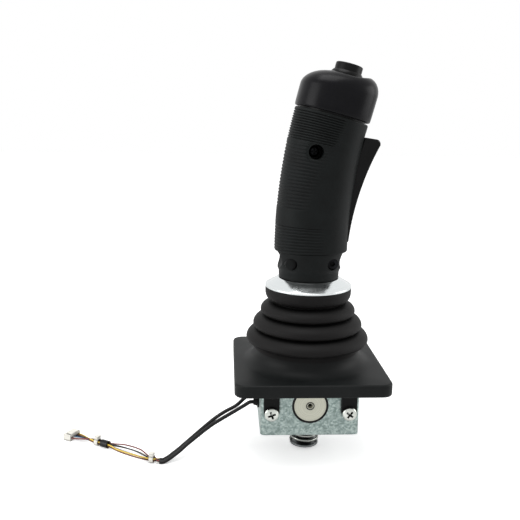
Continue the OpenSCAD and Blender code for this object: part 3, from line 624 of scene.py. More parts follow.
@dataclass
class Studio:
    """The camera, the soft light and the pale floor."""

    focal: float = 45.69
    spot: Point = (-46.95, -367.5, 140.6)
    yaw: float = -2.96
    pitch: float = -11.47
    roll: float = -0.80
    floor_z: float = -47.15

    def build(self) -> None:
        """Sets up everything that isn't the joystick."""
        self._camera()
        self._world()
        self._lamps()
        self._floor()
        bpy.context.scene.view_settings.view_transform = "Standard"
        LOG.info("studio is set")

    def _camera(self) -> None:
        """Stands the camera where it sees the front, from a little above and left."""
        data = bpy.data.cameras.new("camera")
        data.lens, data.sensor_width = self.focal, 36.0
        data.clip_start, data.clip_end = 0.01, 20.0
        camera = bpy.data.objects.new("camera", data)
        aim = (
            Matrix.Rotation(math.radians(self.yaw), 4, "Z")
            @ Matrix.Rotation(math.radians(self.pitch), 4, "X")
            @ Matrix.Rotation(math.radians(self.roll), 4, "Y")
        )
        # A camera looks down its own -Z, so its frame is turned up from one that looks along +Y.
        camera.matrix_world = (
            Matrix.Translation([c * MM for c in self.spot])
            @ aim
            @ Matrix.Rotation(math.radians(90), 4, "X")
        )
        bpy.context.collection.objects.link(camera)
        bpy.context.scene.camera = camera

    def _world(self) -> None:
        """Lights from all round, paler at the sides and behind than in front."""
        world = bpy.data.worlds.new("studio")
        world.use_nodes = True
        tree = world.node_tree
        tree.nodes.clear()
        rays = add_node(tree, "ShaderNodeLightPath")
        facing = add_node(
            tree,
            "ShaderNodeSeparateXYZ",
            {0: add_node(tree, "ShaderNodeTexCoord").outputs["Generated"]},
        ).outputs["Y"]
        level = add_node(
            tree,
            "ShaderNodeMapRange",
            {"Value": facing, "From Min": -0.95, "From Max": 0.1, "To Min": 0.12, "To Max": 0.85},
        ).outputs[0]
        shown = level
        for ray in ("Is Camera Ray", "Is Glossy Ray", "Is Transmission Ray"):
            shown = add_node(
                tree, "ShaderNodeMath", {0: shown, 1: rays.outputs[ray]}, operation="MAXIMUM"
            ).outputs[0]
        light = add_node(
            tree, "ShaderNodeBackground", {"Color": (1, 1, 1, 1), "Strength": shown}
        ).outputs[0]
        add_node(tree, "ShaderNodeOutputWorld", {"Surface": light})
        bpy.context.scene.world = world

    def _lamps(self) -> None:
        """Hangs three soft boxes: one above, one at each side."""
        for name, at, size, power in (
            ("top", (-0.10, -0.12, 0.75), 0.5, 3.2),
            ("left", (-0.75, -0.25, 0.25), 0.5, 2.6),
            ("right", (0.75, 0.0, 0.25), 0.5, 1.8),
        ):
            data = bpy.data.lights.new(name, "AREA")
            data.size, data.energy = size, power
            lamp = bpy.data.objects.new(name, data)
            lamp.location = at
            lamp.rotation_euler = (
                (Vector((0, 0, 0.06)) - Vector(at)).to_track_quat("-Z", "Y").to_euler()
            )
            bpy.context.collection.objects.link(lamp)

    def _floor(self) -> None:
        """Lays a wide white floor that keeps the joystick's shadow."""
        reach = 4000.0
        floor = mesh_object(
            "floor",
            [(x, y, self.floor_z) for x, y in ((-1, -1), (1, -1), (1, 1), (-1, 1))],
            [(0, 1, 2, 3)],
        )
        floor.data.transform(Matrix.Diagonal((reach, reach, 1, 1)))
        material = bpy.data.materials.new("floor_paper_matt")
        material.use_nodes = True
        tree = material.node_tree
        tree.nodes.clear()
        rays = add_node(tree, "ShaderNodeLightPath")
        paper = add_node(tree, "ShaderNodeBsdfDiffuse", {"Color": (0.9, 0.9, 0.9, 1)}).outputs[0]
        glow = add_node(tree, "ShaderNodeEmission", {"Strength": 0.5}).outputs[0]
        lifted = add_node(tree, "ShaderNodeAddShader", {0: paper, 1: glow}).outputs[0]
        mixed = add_node(
            tree,
            "ShaderNodeMixShader",
            {0: rays.outputs["Is Camera Ray"], 1: paper, 2: lifted},
        ).outputs[0]
        add_node(tree, "ShaderNodeOutputMaterial", {"Surface": mixed})
        floor.data.materials.append(material)


# ---- The unit, from the panel up ----


@dataclass
class Base:
    """The skirt, the tab screws and the dressed solids below the panel."""

    half: float = 42.5
    rim_h: float = 7.0
    corner: float = 6.2
    edge: float = 1.2
    neck: float = 30.4
    neck_top: float = 15.0
    fillet: float = 8.0
    wall: float = 2.6
    pocket: float = 38.55
    pocket_h: float = 4.0
    screw_x: float = 21.7
    screw_y: float = 27.0
    screw_z: float = -15.6
    head_r: float = 4.0
    head_h: float = 2.6
    shank: float = 7.2

    def build(self) -> None:
        """Makes the skirt and the screws, and dresses what keeps its solid."""
        place(self._skirt(), "base", SKIRT_RUBBER, "skirt_rubber", ["skirt"])
        screws = [
            self._screw(x, side, turn)
            for (x, turn) in ((-self.screw_x, 20), (self.screw_x, 52))
            for side in (-1, 1)
        ]
        place(joined("tab_screws_pan_head", screws), "base", ZINC_PLATE, "zinc_screw", ["tab_screws"])
        for node, finish in (
            ("mounting_plate", PLATE_NYLON),
            ("housing", CAST_ZINC),
            ("pivot_bushes", BEARING_ACETAL),
            ("cable_grommets", BOOT_RUBBER),
            ("sensor_board", BOARD_EPOXY),
            ("gimbal_frame", TURNED_ZINC),
        ):
            dress(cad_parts[node], finish)
        self._centre_shade_rings()

    def _square(self, inset: float, z: float, half: float, corner: float) -> list[Point]:
        """Returns a level ring on a square with round corners.

        Args:
            inset: Distance inside the full outline.
            z: Height.
            half: Half the full outline's width.
            corner: Corner radius of the full outline.
        """
        h, r = half - inset, max(corner - inset, 0.4)
        ring = []
        for a in self._angles():
            c, s = abs(math.cos(a)), abs(math.sin(a))
            reach = min(h / max(c, 1e-9), h / max(s, 1e-9))
            if min(c, s) * reach > h - r:
                along = (c + s) * (h - r)
                reach = along + math.sqrt(max(along**2 - 2 * (h - r) ** 2 + r * r, 0))
            ring.append((reach * math.cos(a), reach * math.sin(a), z))
        return ring

    def _angles(self) -> list[float]:
        """Returns angles that crowd at the square's corners."""
        out = []
        for quarter in range(4):
            for k in range(48):
                t = k / 48 * 2 - 1
                out.append(math.pi / 2 * quarter + math.pi / 4 * (1 - (1 - abs(t)) ** 1.5) * (1 if t > 0 else -1))
        return out

    def _skirt(self) -> bpy.types.Object:
        """Skins the skirt from its pocket out over the rim and up the neck."""
        out = []
        for a in (-90, -60, -30, 0):
            low = self.edge / 2
            out.append((low - low * math.cos(math.radians(a)), low + low * math.sin(math.radians(a))))
        for a in (0, 15, 30, 45, 60, 75, 90):
            bend = math.radians(a)
            out.append(
                (self.edge * (1 - math.cos(bend)), self.rim_h - self.edge * (1 - math.sin(bend)))
            )
        rings = [self._square(i, z, self.half, self.corner) for i, z in out]
        middle = Vector((self.neck + self.fillet, self.rim_h + self.fillet))
        for a in range(270, 179, -9):
            bend = math.radians(a)
            rings.append(
                circle(
                    middle.x + self.fillet * math.cos(bend),
                    middle.y + self.fillet * math.sin(bend),
                    self._angles(),
                )
            )
        inner = self.neck - self.wall
        rings += [circle(inner, z, self._angles()) for z in (self.neck_top, self.pocket_h)]
        rings += [self._square(0, z, self.pocket, 4.0) for z in (self.pocket_h, 0.0)]
        return lofted("skirt_moulded", rings, True, 40)

    def _screw(self, x: float, side: int, turn: float) -> bpy.types.Object:
        """Makes a pan-head screw with a cross recess.

        Args:
            x: Place along X.
            side: -1 on the front wall, 1 on the back wall.
            turn: How far the recess is turned, in degrees.
        """
        r, h = self.head_r, self.head_h
        dome = [(r * math.cos(t), h * (0.42 + 0.58 * math.sin(t))) for t in
                [math.radians(a) for a in range(8, 86, 7)]]
        profile = [(0.0, -self.shank), (2.0, -self.shank), (2.0, 0.0), (r - 0.15, 0.0), (r, 0.25)]
        screw = revolved("screw", profile + dome + [(0.0, h)], 48)
        arms = []
        for quarter in (0, 90):
            arm = lofted(
                "arm",
                [
                    [(-w, -t, z), (w, -t, z), (w, t, z), (-w, t, z)]
                    for w, t, z in ((1.2, 0.42, h * 0.1), (2.5, 0.62, h * 1.1))
                ],
            )
            arm.data.transform(Matrix.Rotation(math.radians(quarter + turn), 4, "Z"))
            arms.append(arm)
        cut(screw, arms, 25)
        screw.data.transform(
            Matrix.Translation([c * MM for c in (x, side * self.screw_y, self.screw_z)])
            @ Matrix.Rotation(math.radians(-90 * side), 4, "X")
        )
        return screw

    def _centre_shade_rings(self) -> None:
        """Adds a thin black ring on each trunnion's face: painted shade round its centre hole."""
        rings = []
        for side in (-1, 1):
            # Painted shade: a thin black ring stands for the shade round the centre hole.
            ring = revolved(
                "ring",
                filleted([(1.85, 0.0), (2.35, 0.0), (2.35, 0.14), (1.85, 0.14)], {2: 0.1, 3: 0.1}),
                64,
            )
            ring.data.transform(
                Matrix.Translation([0, side * 25.0 * MM, -12.0 * MM])
                @ Matrix.Rotation(math.radians(-90 * side), 4, "X")
            )
            rings.append(ring)
        place(joined("trunnion_centre_shade_rings", rings), "gimbal", BLACK_STEEL, "gimbal_metal")


def joined(name: str, objects: Sequence[bpy.types.Object]) -> bpy.types.Object:
    """Joins objects into the first, and names it."""
    whole = bmesh.new()
    for obj in objects:
        whole.from_mesh(obj.data)
    whole.to_mesh(objects[0].data)
    whole.free()
    for obj in objects[1:]:
        bpy.data.objects.remove(obj)
    objects[0].name = objects[0].data.name = name
    shade(objects[0], 25)
    return objects[0]


@dataclass
class Boot:
    """The rubber bellows: a cup on the clamp ring's spigot and three folds."""

    top: float = 51.2
    cup_r: float = 24.6
    foot_r: float = 30.4
    foot_z: float = 15.0
    wall: float = 1.7
    crest: float = 2.0
    root: float = 0.4
    spigot: float = 19.25
    lip: float = 2.0
    folds: tuple[tuple[float, float, float, float], ...] = (
        (20.0, 42.4, 27.2, 37.4),
        (23.2, 35.0, 31.4, 29.2),
        (27.4, 26.8, 35.3, 21.0),
    )

    def build(self) -> None:
        """Makes the lower folds and the upper fold with its cup."""
        line = self._outline()
        lining = [line[0]] + [self._inward(line, i) for i in range(1, len(line) - 1)] + [
            (self.foot_r - self.wall, self.foot_z)
        ]
        split = min(
            range(len(line)), key=lambda i: abs(line[i][0] - self.folds[2][0]) + abs(line[i][1] - self.folds[2][1])
        )
        lower = line[split:] + lining[split:][::-1]
        inside = [p for p in lining[: split + 1] if p[1] < self.top - self.lip - 0.3]
        upper = line[: split + 1] + inside[::-1] + [
            (self.cup_r - self.wall, self.top - self.lip),
            (self.spigot, self.top - self.lip),
            (self.spigot, self.top),
        ]
        lower_piece = revolved("bellows_lower_folds", lower, 160, 50)
        upper_piece = revolved("bellows_cup_and_fold", upper, 160, 50)
        seam = (0.0, 0.0, self.folds[2][1] * MM)
        for piece, bodies, span in (
            (lower_piece, ("base", "gimbal"), ((0.0, 0.0, self.foot_z * MM), seam)),
            (upper_piece, ("gimbal", "lever"), (seam, (0.0, 0.0, 44.0 * MM))),
        ):
            dress(piece, BOOT_RUBBER)
            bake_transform(piece)
            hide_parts("bellows")
            LOG.info("%s bends from %s to %s", piece.name, *bodies)

    def _outline(self) -> Profile:
        """Returns the outer line from the cup's rim down to the foot."""
        line = [(self.cup_r - 0.3, self.top), (self.cup_r, self.top - 0.4)]
        line += [(self.cup_r + 0.05 * math.sin(t / 8 * math.pi) - 2.6 * (t / 8) ** 3.4,
                  self.top - 0.6 - (self.top - 43.7) * (t / 8) ** 0.85) for t in range(1, 9)]
        for valley_r, valley_z, crest_r, crest_z in self.folds:
            centre = valley_r + self.root
            line += [
                (centre + self.root * math.cos(a), valley_z + self.root * math.sin(a))
                for a in [math.radians(90 + 22.5 * k) for k in range(9)]
            ]
            drop = valley_z - self.root - crest_z
            line += [
                (centre + (crest_r - centre) * math.cos(a), crest_z + drop * math.sin(a))
                for a in [math.radians(82 - 8 * k) for k in range(10)]
            ]
            line += [
                (crest_r - self.crest * (1 - math.cos(a)), crest_z - self.crest * math.sin(a))
                for a in [math.radians(10 * k) for k in range(10)]
            ]
        line += [(31.0, 18.4), (30.55, 17.8), (self.foot_r, 17.0), (self.foot_r, self.foot_z)]
        return line

    def _inward(self, line: Profile, i: int) -> tuple[float, float]:
        """Returns point i moved by the wall to the inner side."""
        run = (Vector(line[i + 1]) - Vector(line[i - 1])).normalized()
        return (line[i][0] + self.wall * run.y, line[i][1] - self.wall * run.x)


@dataclass
class Neck:
    """The bright clamp ring and the black collar that carries the grip."""

    bore: float = 6.05
    ring_z: float = 51.2
    rim_t: float = 1.0
    top_z: float = 56.5
    rim_r: float = 24.7
    flat_r: float = 17.4
    spigot_r: float = 19.2
    spigot_in: float = 16.2
    spigot_z: float = 44.7
    grip_z: float = 72.4
    plug_r: float = 14.6
    plug_z: float = 76.6
    hole_x: float = 11.6
    hole_z: float = 66.3
    hole_r: float = 3.3
    hole_floor: float = 8.0
    sink_r: float = 4.7
    sink_depth: float = 4.2
    sink_z: float = 66.9
    # The countersinks are drawn out along the collar's side.
    sink_spread: float = 3.0

    def build(self) -> None:
        """Turns the ring, moulds the collar with its holes, and plugs the hole that is shut."""
        low, rim, high = self.ring_z, self.ring_z + self.rim_t, self.top_z
        ring = revolved(
            "clamp_ring_turned",
            filleted(
                [
                    (self.bore, low), (self.bore, high), (self.flat_r, high), (self.rim_r, rim),
                    (self.rim_r, low), (self.spigot_r, low), (self.spigot_r, self.spigot_z),
                    (self.spigot_in, self.spigot_z), (self.spigot_in, low),
                ],
                {2: 0.25, 3: 0.3, 4: 0.15},
            ),
            192,
            20,
        )
        place(ring, "lever", TURNED_ALUMINIUM, "bright_aluminium", ["clamp_ring"])
        place(self._collar(), "lever", GRIP_NYLON, "collar_plastic", ["neck_collar"])
        plug = revolved(
            "screw_hole_plug",
            filleted([(0.0, 0.0), (3.22, 0.0), (3.22, 1.6), (0.0, 2.0)], {2: 0.3}),
            48,
        )
        plug.data.transform(
            Matrix.Translation([-self.hole_x * MM, -12.7 * MM, self.hole_z * MM])
            @ Matrix.Rotation(math.radians(90), 4, "X")
        )
        place(plug, "lever", SKIRT_RUBBER, "collar_plastic")
        for node, finish in (("collar_screws", BLACK_STEEL), ("clamp_screws", BLACK_STEEL)):
            dress(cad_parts[node], finish)

    def _collar(self) -> bpy.types.Object:
        """Turns the waisted collar, then cuts its screw holes and side countersinks."""
        waist = [(16.5, 56.5), (16.9, 56.75), (17.05, 57.3), (17.1, 58.6), (17.2, 60.2),
                 (17.5, 61.3), (18.0, 62.3), (18.4, 63.2), (18.62, 64.6), (18.78, 66.2),
                 (18.92, 67.8), (19.08, 69.3), (19.3, 70.8), (19.4, 71.6), (19.3, 72.15),
                 (18.9, 72.4)]
        profile = [(self.bore, 56.5)] + waist + [
            (self.plug_r, self.grip_z), (self.plug_r, self.plug_z), (self.bore, self.plug_z)
        ]
        collar = revolved("neck_collar_moulded", profile, 160)
        cutters = []
        for side in (-1, 1):
            cutters += [
                cylinder("hole", self.hole_r, (x, side * self.hole_floor, self.hole_z),
                         (0.0, side * 14.0, 0.0))
                for x in (-self.hole_x, self.hole_x)
            ]
            mouth = side * 18.45
            sink = cylinder("sink", 1.6, (mouth - side * self.sink_depth, 0.0, self.sink_z),
                            (side * (self.sink_depth + 1.6), 0.0, 0.0), self.sink_r * 1.5)
            sink.data.transform(Matrix.Diagonal((1.0, self.sink_spread, 1.0, 1.0)))
            cutters.append(sink)
            cutters.append(cylinder("bore", 2.05, (side * 5.0, 0.0, self.hole_z),
                                    (side * 14.0, 0.0, 0.0)))
        cut(collar, cutters)
        return collar


@dataclass
class Grip:
    """The curved grip of two shells, with ribs moulded into its palm side."""

    half_w: float = 20.6
    half_d: float = 19.3
    square: float = 2.25
    spine_r: float = 296.36
    spine_x: float = 297.01
    foot_z: float = 72.4
    length: float = 75.0
    wall: float = 2.6
    row: float = 0.16
    columns: int = 84
    recess_r: float = 4.0
    recess_z: float = 127.6
    recess_depth: float = 12.0
    slot_w: float = 13.6
    pin: tuple[float, float] = (14.6, 84.0)
    # Start, end, pitch, depth, and the fade's place on the palm side at the start and the end.
    zones: tuple[tuple[float, float, float, float, float, float], ...] = (
        (0.5, 14.4, 1.62, 0.38, 4.0, 3.0),
        (23.0, 57.6, 1.78, 0.34, -8.0, 1.0),
        (58.6, 74.3, 1.27, 0.48, 3.0, 6.0),
    )

    def build(self) -> None:
        """Makes both shells and dresses the fasteners inside them."""
        for side, name in ((-1, "front"), (1, "back")):
            shell = self._shell(side, name)
            place(shell, "lever", GRIP_NYLON, "grip_plastic", [f"grip_{name}"])
        dress(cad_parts["grip_screw"], BLACK_STEEL)
        dress(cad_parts["trigger_pin"], GROUND_STEEL)

    def _rib(self, s: float, u: float) -> float:
        """Returns how deep the ribs' grooves cut at a height along the spine and a place across."""
        for start, end, pitch, depth, low, high in self.zones:
            if start <= s <= end:
                edge = low + (high - low) * (s - start) / (end - start)
                fade = min(max((edge + 3.0 - u) / 4.5, 0.0), 1.0)
                ends = min((s - start) / 0.3, (end - s) / 0.3, 1.0)
                wave = 0.5 - 0.5 * math.cos(2 * math.pi * (s - start) / pitch)
                return depth * wave**1.6 * fade * fade * (3 - 2 * fade) * max(ends, 0.0)
        return 0.0

    def _row(self, s: float, side: int) -> list[Point]:
        """Returns one closed row: the outer skin, then the inner one back again."""
        lean = s / self.spine_r
        ease = max(0.0, 0.7 - s, s - self.length + 0.9)
        soft = 0.55 * ease**2
        ring = []
        for j in range(self.columns + 1):
            a = math.pi * j / self.columns * side
            u = self._power(math.cos(a))
            v = self._power(math.sin(a))
            seam = 0.16 if j in (0, self.columns) else 0.0
            d = self._rib(s, u * self.half_w) + soft + seam
            ring.append(self._spot(u * (self.half_w - d), v * (self.half_d - d), lean))
        for j in range(0, self.columns + 1, 3):
            a = math.pi * (1 - j / self.columns) * side
            ring.append(
                self._spot(
                    self._power(math.cos(a)) * (self.half_w - self.wall),
                    self._power(math.sin(a)) * (self.half_d - self.wall),
                    lean,
                )
            )
        return ring

    def _power(self, value: float) -> float:
        """Squares up a sine or cosine by the section's exponent."""
        return math.copysign(abs(value) ** (2 / self.square), value)

    def _spot(self, u: float, v: float, lean: float) -> Point:
        """Returns the point of a section at an angle along the spine."""
        reach = self.spine_r - u
        return (self.spine_x - reach * math.cos(lean), v, self.foot_z + reach * math.sin(lean))

    def _shell(self, side: int, name: str) -> bpy.types.Object:
        """Skins one shell, then cuts the trigger's slot and the screw's recess."""
        count = round(self.length / self.row)
        rings = [self._row(self.length * k / count, side) for k in range(count + 1)]
        shell = lofted(f"grip_{name}_moulded", rings, False, 50)
        x, z = self.pin
        lean = math.tan(math.radians(14.5))
        corners = [(-4.4, -7.2), (44.4, -7.2), (44.4, 51.8 - lean * 22.2), (0, 51.8 + lean * 22.2),
                   (-4.4, 51.8)]
        slot = lofted(
            "slot",
            [[(x + px, y, z + pz) for px, pz in corners] for y in (-self.slot_w / 2, self.slot_w / 2)],
        )
        cutters = [slot]
        if side < 0:
            boss = cylinder("boss", self.recess_r + 1.5, (0.0, -0.4, self.recess_z), (0.0, -17.6, 0.0))
            modifier = shell.modifiers.new("boss", "BOOLEAN")
            modifier.operation, modifier.solver, modifier.object = "UNION", "EXACT", boss
            apply_modifiers(shell)
            bpy.data.objects.remove(boss)
            cutters.append(
                cylinder("recess", self.recess_r, (0.0, self.recess_depth - self.half_d, self.recess_z),
                         (0.0, -20.0, 0.0))
            )
        cut(shell, cutters, 50)
        return shell


@dataclass
class Head:
    """The capped head with its push-button, leaning with the grip's top."""

    origin: Point = (10.0897, 0.0, 146.602)
    lean: float = 14.5
    half_w: float = 21.2
    half_d: float = 19.9
    square: float = 2.25
    height: float = 23.1
    gap: float = 0.9
    round_w: float = 10.5
    round_h: float = 9.3
    shift: float = 2.0
    rise: float = 0.1
    saddle_r: float = 30.0
    saddle_depth: float = 1.4
    button_x: float = 2.0
    seat_r: float = 9.05
    columns: int = 144

    def build(self) -> None:
        """Makes the cap, the bezel and the button."""
        place(self._cap(), "lever", HEAD_NYLON, "cap_plastic", ["head_cap"])
        bezel = revolved(
            "button_bezel_moulded",
            filleted(
                [(7.6, 15.6), (7.6, 24.6), (7.9, 24.6), (8.7, 23.6), (9.0, 22.6), (9.0, 15.6)],
                {3: 0.6},
            ),
        )
        button = revolved(
            "button_moulded",
            filleted(
                [(0.0, 17.7), (7.5, 17.7), (7.5, 28.6), (6.0, 28.6), (4.5, 28.35), (0.0, 28.3)],
                {2: 0.9, 4: 1.0},
            ),
        )
        for piece, body, slot, node in (
            (bezel, "lever", "button_plastic", "button_bezel"),
            (button, "button", "button_plastic", "button"),
        ):
            piece.data.transform(Matrix.Translation((self.button_x * MM, 0, 0)))
            self._lift(piece)
            place(piece, body, FINGER_ACETAL, slot, [node])
        dress(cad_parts["button_switch"], BEARING_ACETAL)

    def _lift(self, obj: bpy.types.Object) -> None:
        """Moves a mesh from the head's own frame to the part's."""
        obj.data.transform(
            Matrix.Translation([c * MM for c in self.origin])
            @ Matrix.Rotation(math.radians(self.lean), 4, "Y")
        )

    def _top(self, x: float, z: float) -> float:
        """Returns a height on the cap after its rise and the soft saddle."""
        raised = z + self.rise * x * z / self.height
        off = min(abs(x - self.button_x), self.saddle_r * 0.9)
        saddle = self.height + self.saddle_r - self.saddle_depth - math.sqrt(
            self.saddle_r**2 - off**2
        )
        blend = 0.5
        mix = min(max(0.5 + 0.5 * (saddle - raised) / blend, 0.0), 1.0)
        return saddle * (1 - mix) + raised * mix - blend * mix * (1 - mix)

    def _oval(self, inset: float, z: float, shift: float) -> list[Point]:
        """Returns a ring of the cap's rounded section at a height."""
        ring = []
        for a in turns(self.columns):
            c, s = math.cos(a), math.sin(a)
            x = math.copysign(abs(c) ** (2 / self.square), c) * (self.half_w - inset) + shift
            y = math.copysign(abs(s) ** (2 / self.square), s) * (self.half_d - inset)
            ring.append((x, y, self._top(x, z)))
        return ring

    def _round(self, radius: float, z: float, x: float = 0.0) -> list[Point]:
        """Returns a round ring at a height."""
        return [(px + x, py, pz) for px, py, pz in circle(radius, z, turns(self.columns))]

    def _cap(self) -> bpy.types.Object:
        """Skins the cap from its lower rim over the top, down the button's seat and out again."""
        shoulder = self.height - self.round_h
        rings = [
            self._oval(i, z, 0.0)
            for i, z in ((1.0, self.gap), (0.55, self.gap + 0.12), (0.28, self.gap + 0.4),
                         (0.12, self.gap + 0.9), (0.03, 4.0), (0.0, 8.3))
        ]
        for t in range(0, 91, 5):
            c, s = math.cos(math.radians(t)), math.sin(math.radians(t))
            rings.append(
                self._oval(self.round_w * (1 - c), shoulder + self.round_h * s, self.shift * (1 - c))
            )
        edge, seat = rings[-1], self._round(self.seat_r, 0.0, self.button_x)
        for k in range(1, 9):
            f = k / 8
            rings.append(
                [
                    (p[0] * (1 - f) + q[0] * f, p[1] * (1 - f) + q[1] * f,
                     self._top(p[0] * (1 - f) + q[0] * f, self.height))
                    for p, q in zip(edge, seat)
                ]
            )
        rings.append(self._round(self.seat_r, 9.8, self.button_x))
        for radius, z in ((12.4, 9.8), (12.4, -3.6), (16.4, -3.6), (16.4, 0.0), (18.3, 0.0),
                          (18.3, self.gap)):
            rings.append(self._round(radius, z))
        cap = lofted("head_cap_moulded", rings, True, 45)
        self._lift(cap)
        return cap


@dataclass
class Trigger:
    """The long finger trigger with its hollowed face."""

    pin: tuple[float, float] = (14.6, 84.0)
    width: float = 13.0
    tail: float = 6.6
    foot_x: float = 6.6
    tip_x: float = 22.2
    length: float = 50.6
    tip_t: float = 9.0
    nose: float = 2.6
    face_r: float = 150.0

    def build(self) -> None:
        """Makes the trigger on its own body."""
        lean = math.tan(math.radians(14.5))
        foot, tip = Vector((self.foot_x, -self.tail)), Vector((self.tip_x, self.length - 3.4))
        chord = tip - foot
        out = Vector((chord.y, -chord.x)).normalized()
        line = [(0.0, -self.tail)]
        for k in range(25):
            f = k / 24
            deep = math.sqrt(self.face_r**2 - ((f - 0.5) * chord.length) ** 2) - math.sqrt(
                self.face_r**2 - (chord.length / 2) ** 2
            )
            spot = foot + chord * f - out * deep
            line.append((spot.x, spot.y))
        nose = tip + Vector((-self.nose, 0.6))
        line += [
            (nose.x + self.nose * math.cos(math.radians(a)), nose.y + self.nose * math.sin(math.radians(a)))
            for a in range(0, 76, 15)
        ]
        line += [(self.tip_x - self.tip_t, self.length + lean * self.tip_t / 3), (-3.4, 0.0)]
        x, z = self.pin
        trigger = lofted(
            "trigger_moulded",
            [[(x + px, y, z + pz) for px, pz in line] for y in (-self.width / 2, self.width / 2)],
        )
        cut(trigger, [cylinder("eye", 1.55, (x, -10.0, z), (0.0, 20.0, 0.0))])
        softened(trigger, 0.9, 4, 40)
        place(trigger, "trigger", FINGER_ACETAL, "trigger_plastic", ["trigger"])


@dataclass
class Drive:
    """The lever's tube, its return spring and the parts that hold it."""

    mean_r: float = 7.85
    wire: float = 1.7
    coils: float = 3.5
    top: float = -32.8
    low: float = -44.4

    def build(self) -> None:
        """Winds the spring and dresses the steel and acetal round it."""
        radius, steps = self.wire / 2, 40
        count = round(self.coils * steps)
        rings = []
        for k in range(count + 1):
            f = k / count
            a = 2 * math.pi * self.coils * f
            z = self.top - radius + (self.low - self.top + self.wire) * f
            out = Vector((math.cos(a), math.sin(a), 0))
            ring = []
            for b in turns(14):
                spot = out * (self.mean_r + radius * math.cos(b)) + Vector((0, 0, z + radius * math.sin(b)))
                ring.append(tuple(spot))
            rings.append(ring)
        place(lofted("return_spring_wound", rings), "lever", SPRING_STEEL, "spring_steel",
              ["return_spring"])
        for node, finish in (
            ("cross_pin", GROUND_STEEL),
            ("sensor_magnet", GROUND_STEEL),
            ("hub", GROUND_STEEL),
            ("lever_tube", BLACK_STEEL),
            ("spring_washer", GROUND_STEEL),
            ("retaining_clip", SPRING_STEEL),
            ("spring_seat", BEARING_ACETAL),
        ):
            dress(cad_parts[node], finish)


# ---- Cables ----


class Colour(Enum):
    """A lead's name, its colour and a second tone, in the bundle's order."""

    YELLOW = ("yellow", "#d9b43a", "#e6c655")
    BROWN = ("brown", "#6e4428", "#7d5132")
    BLACK = ("black", "#141414", "#1e1e1e")
    MAROON = ("maroon", "#70302c", "#823c36")
    WHITE = ("white", "#dcdbd4", "#ecebe6")
    BLUE = ("blue", "#2f5a86", "#3b6a99")


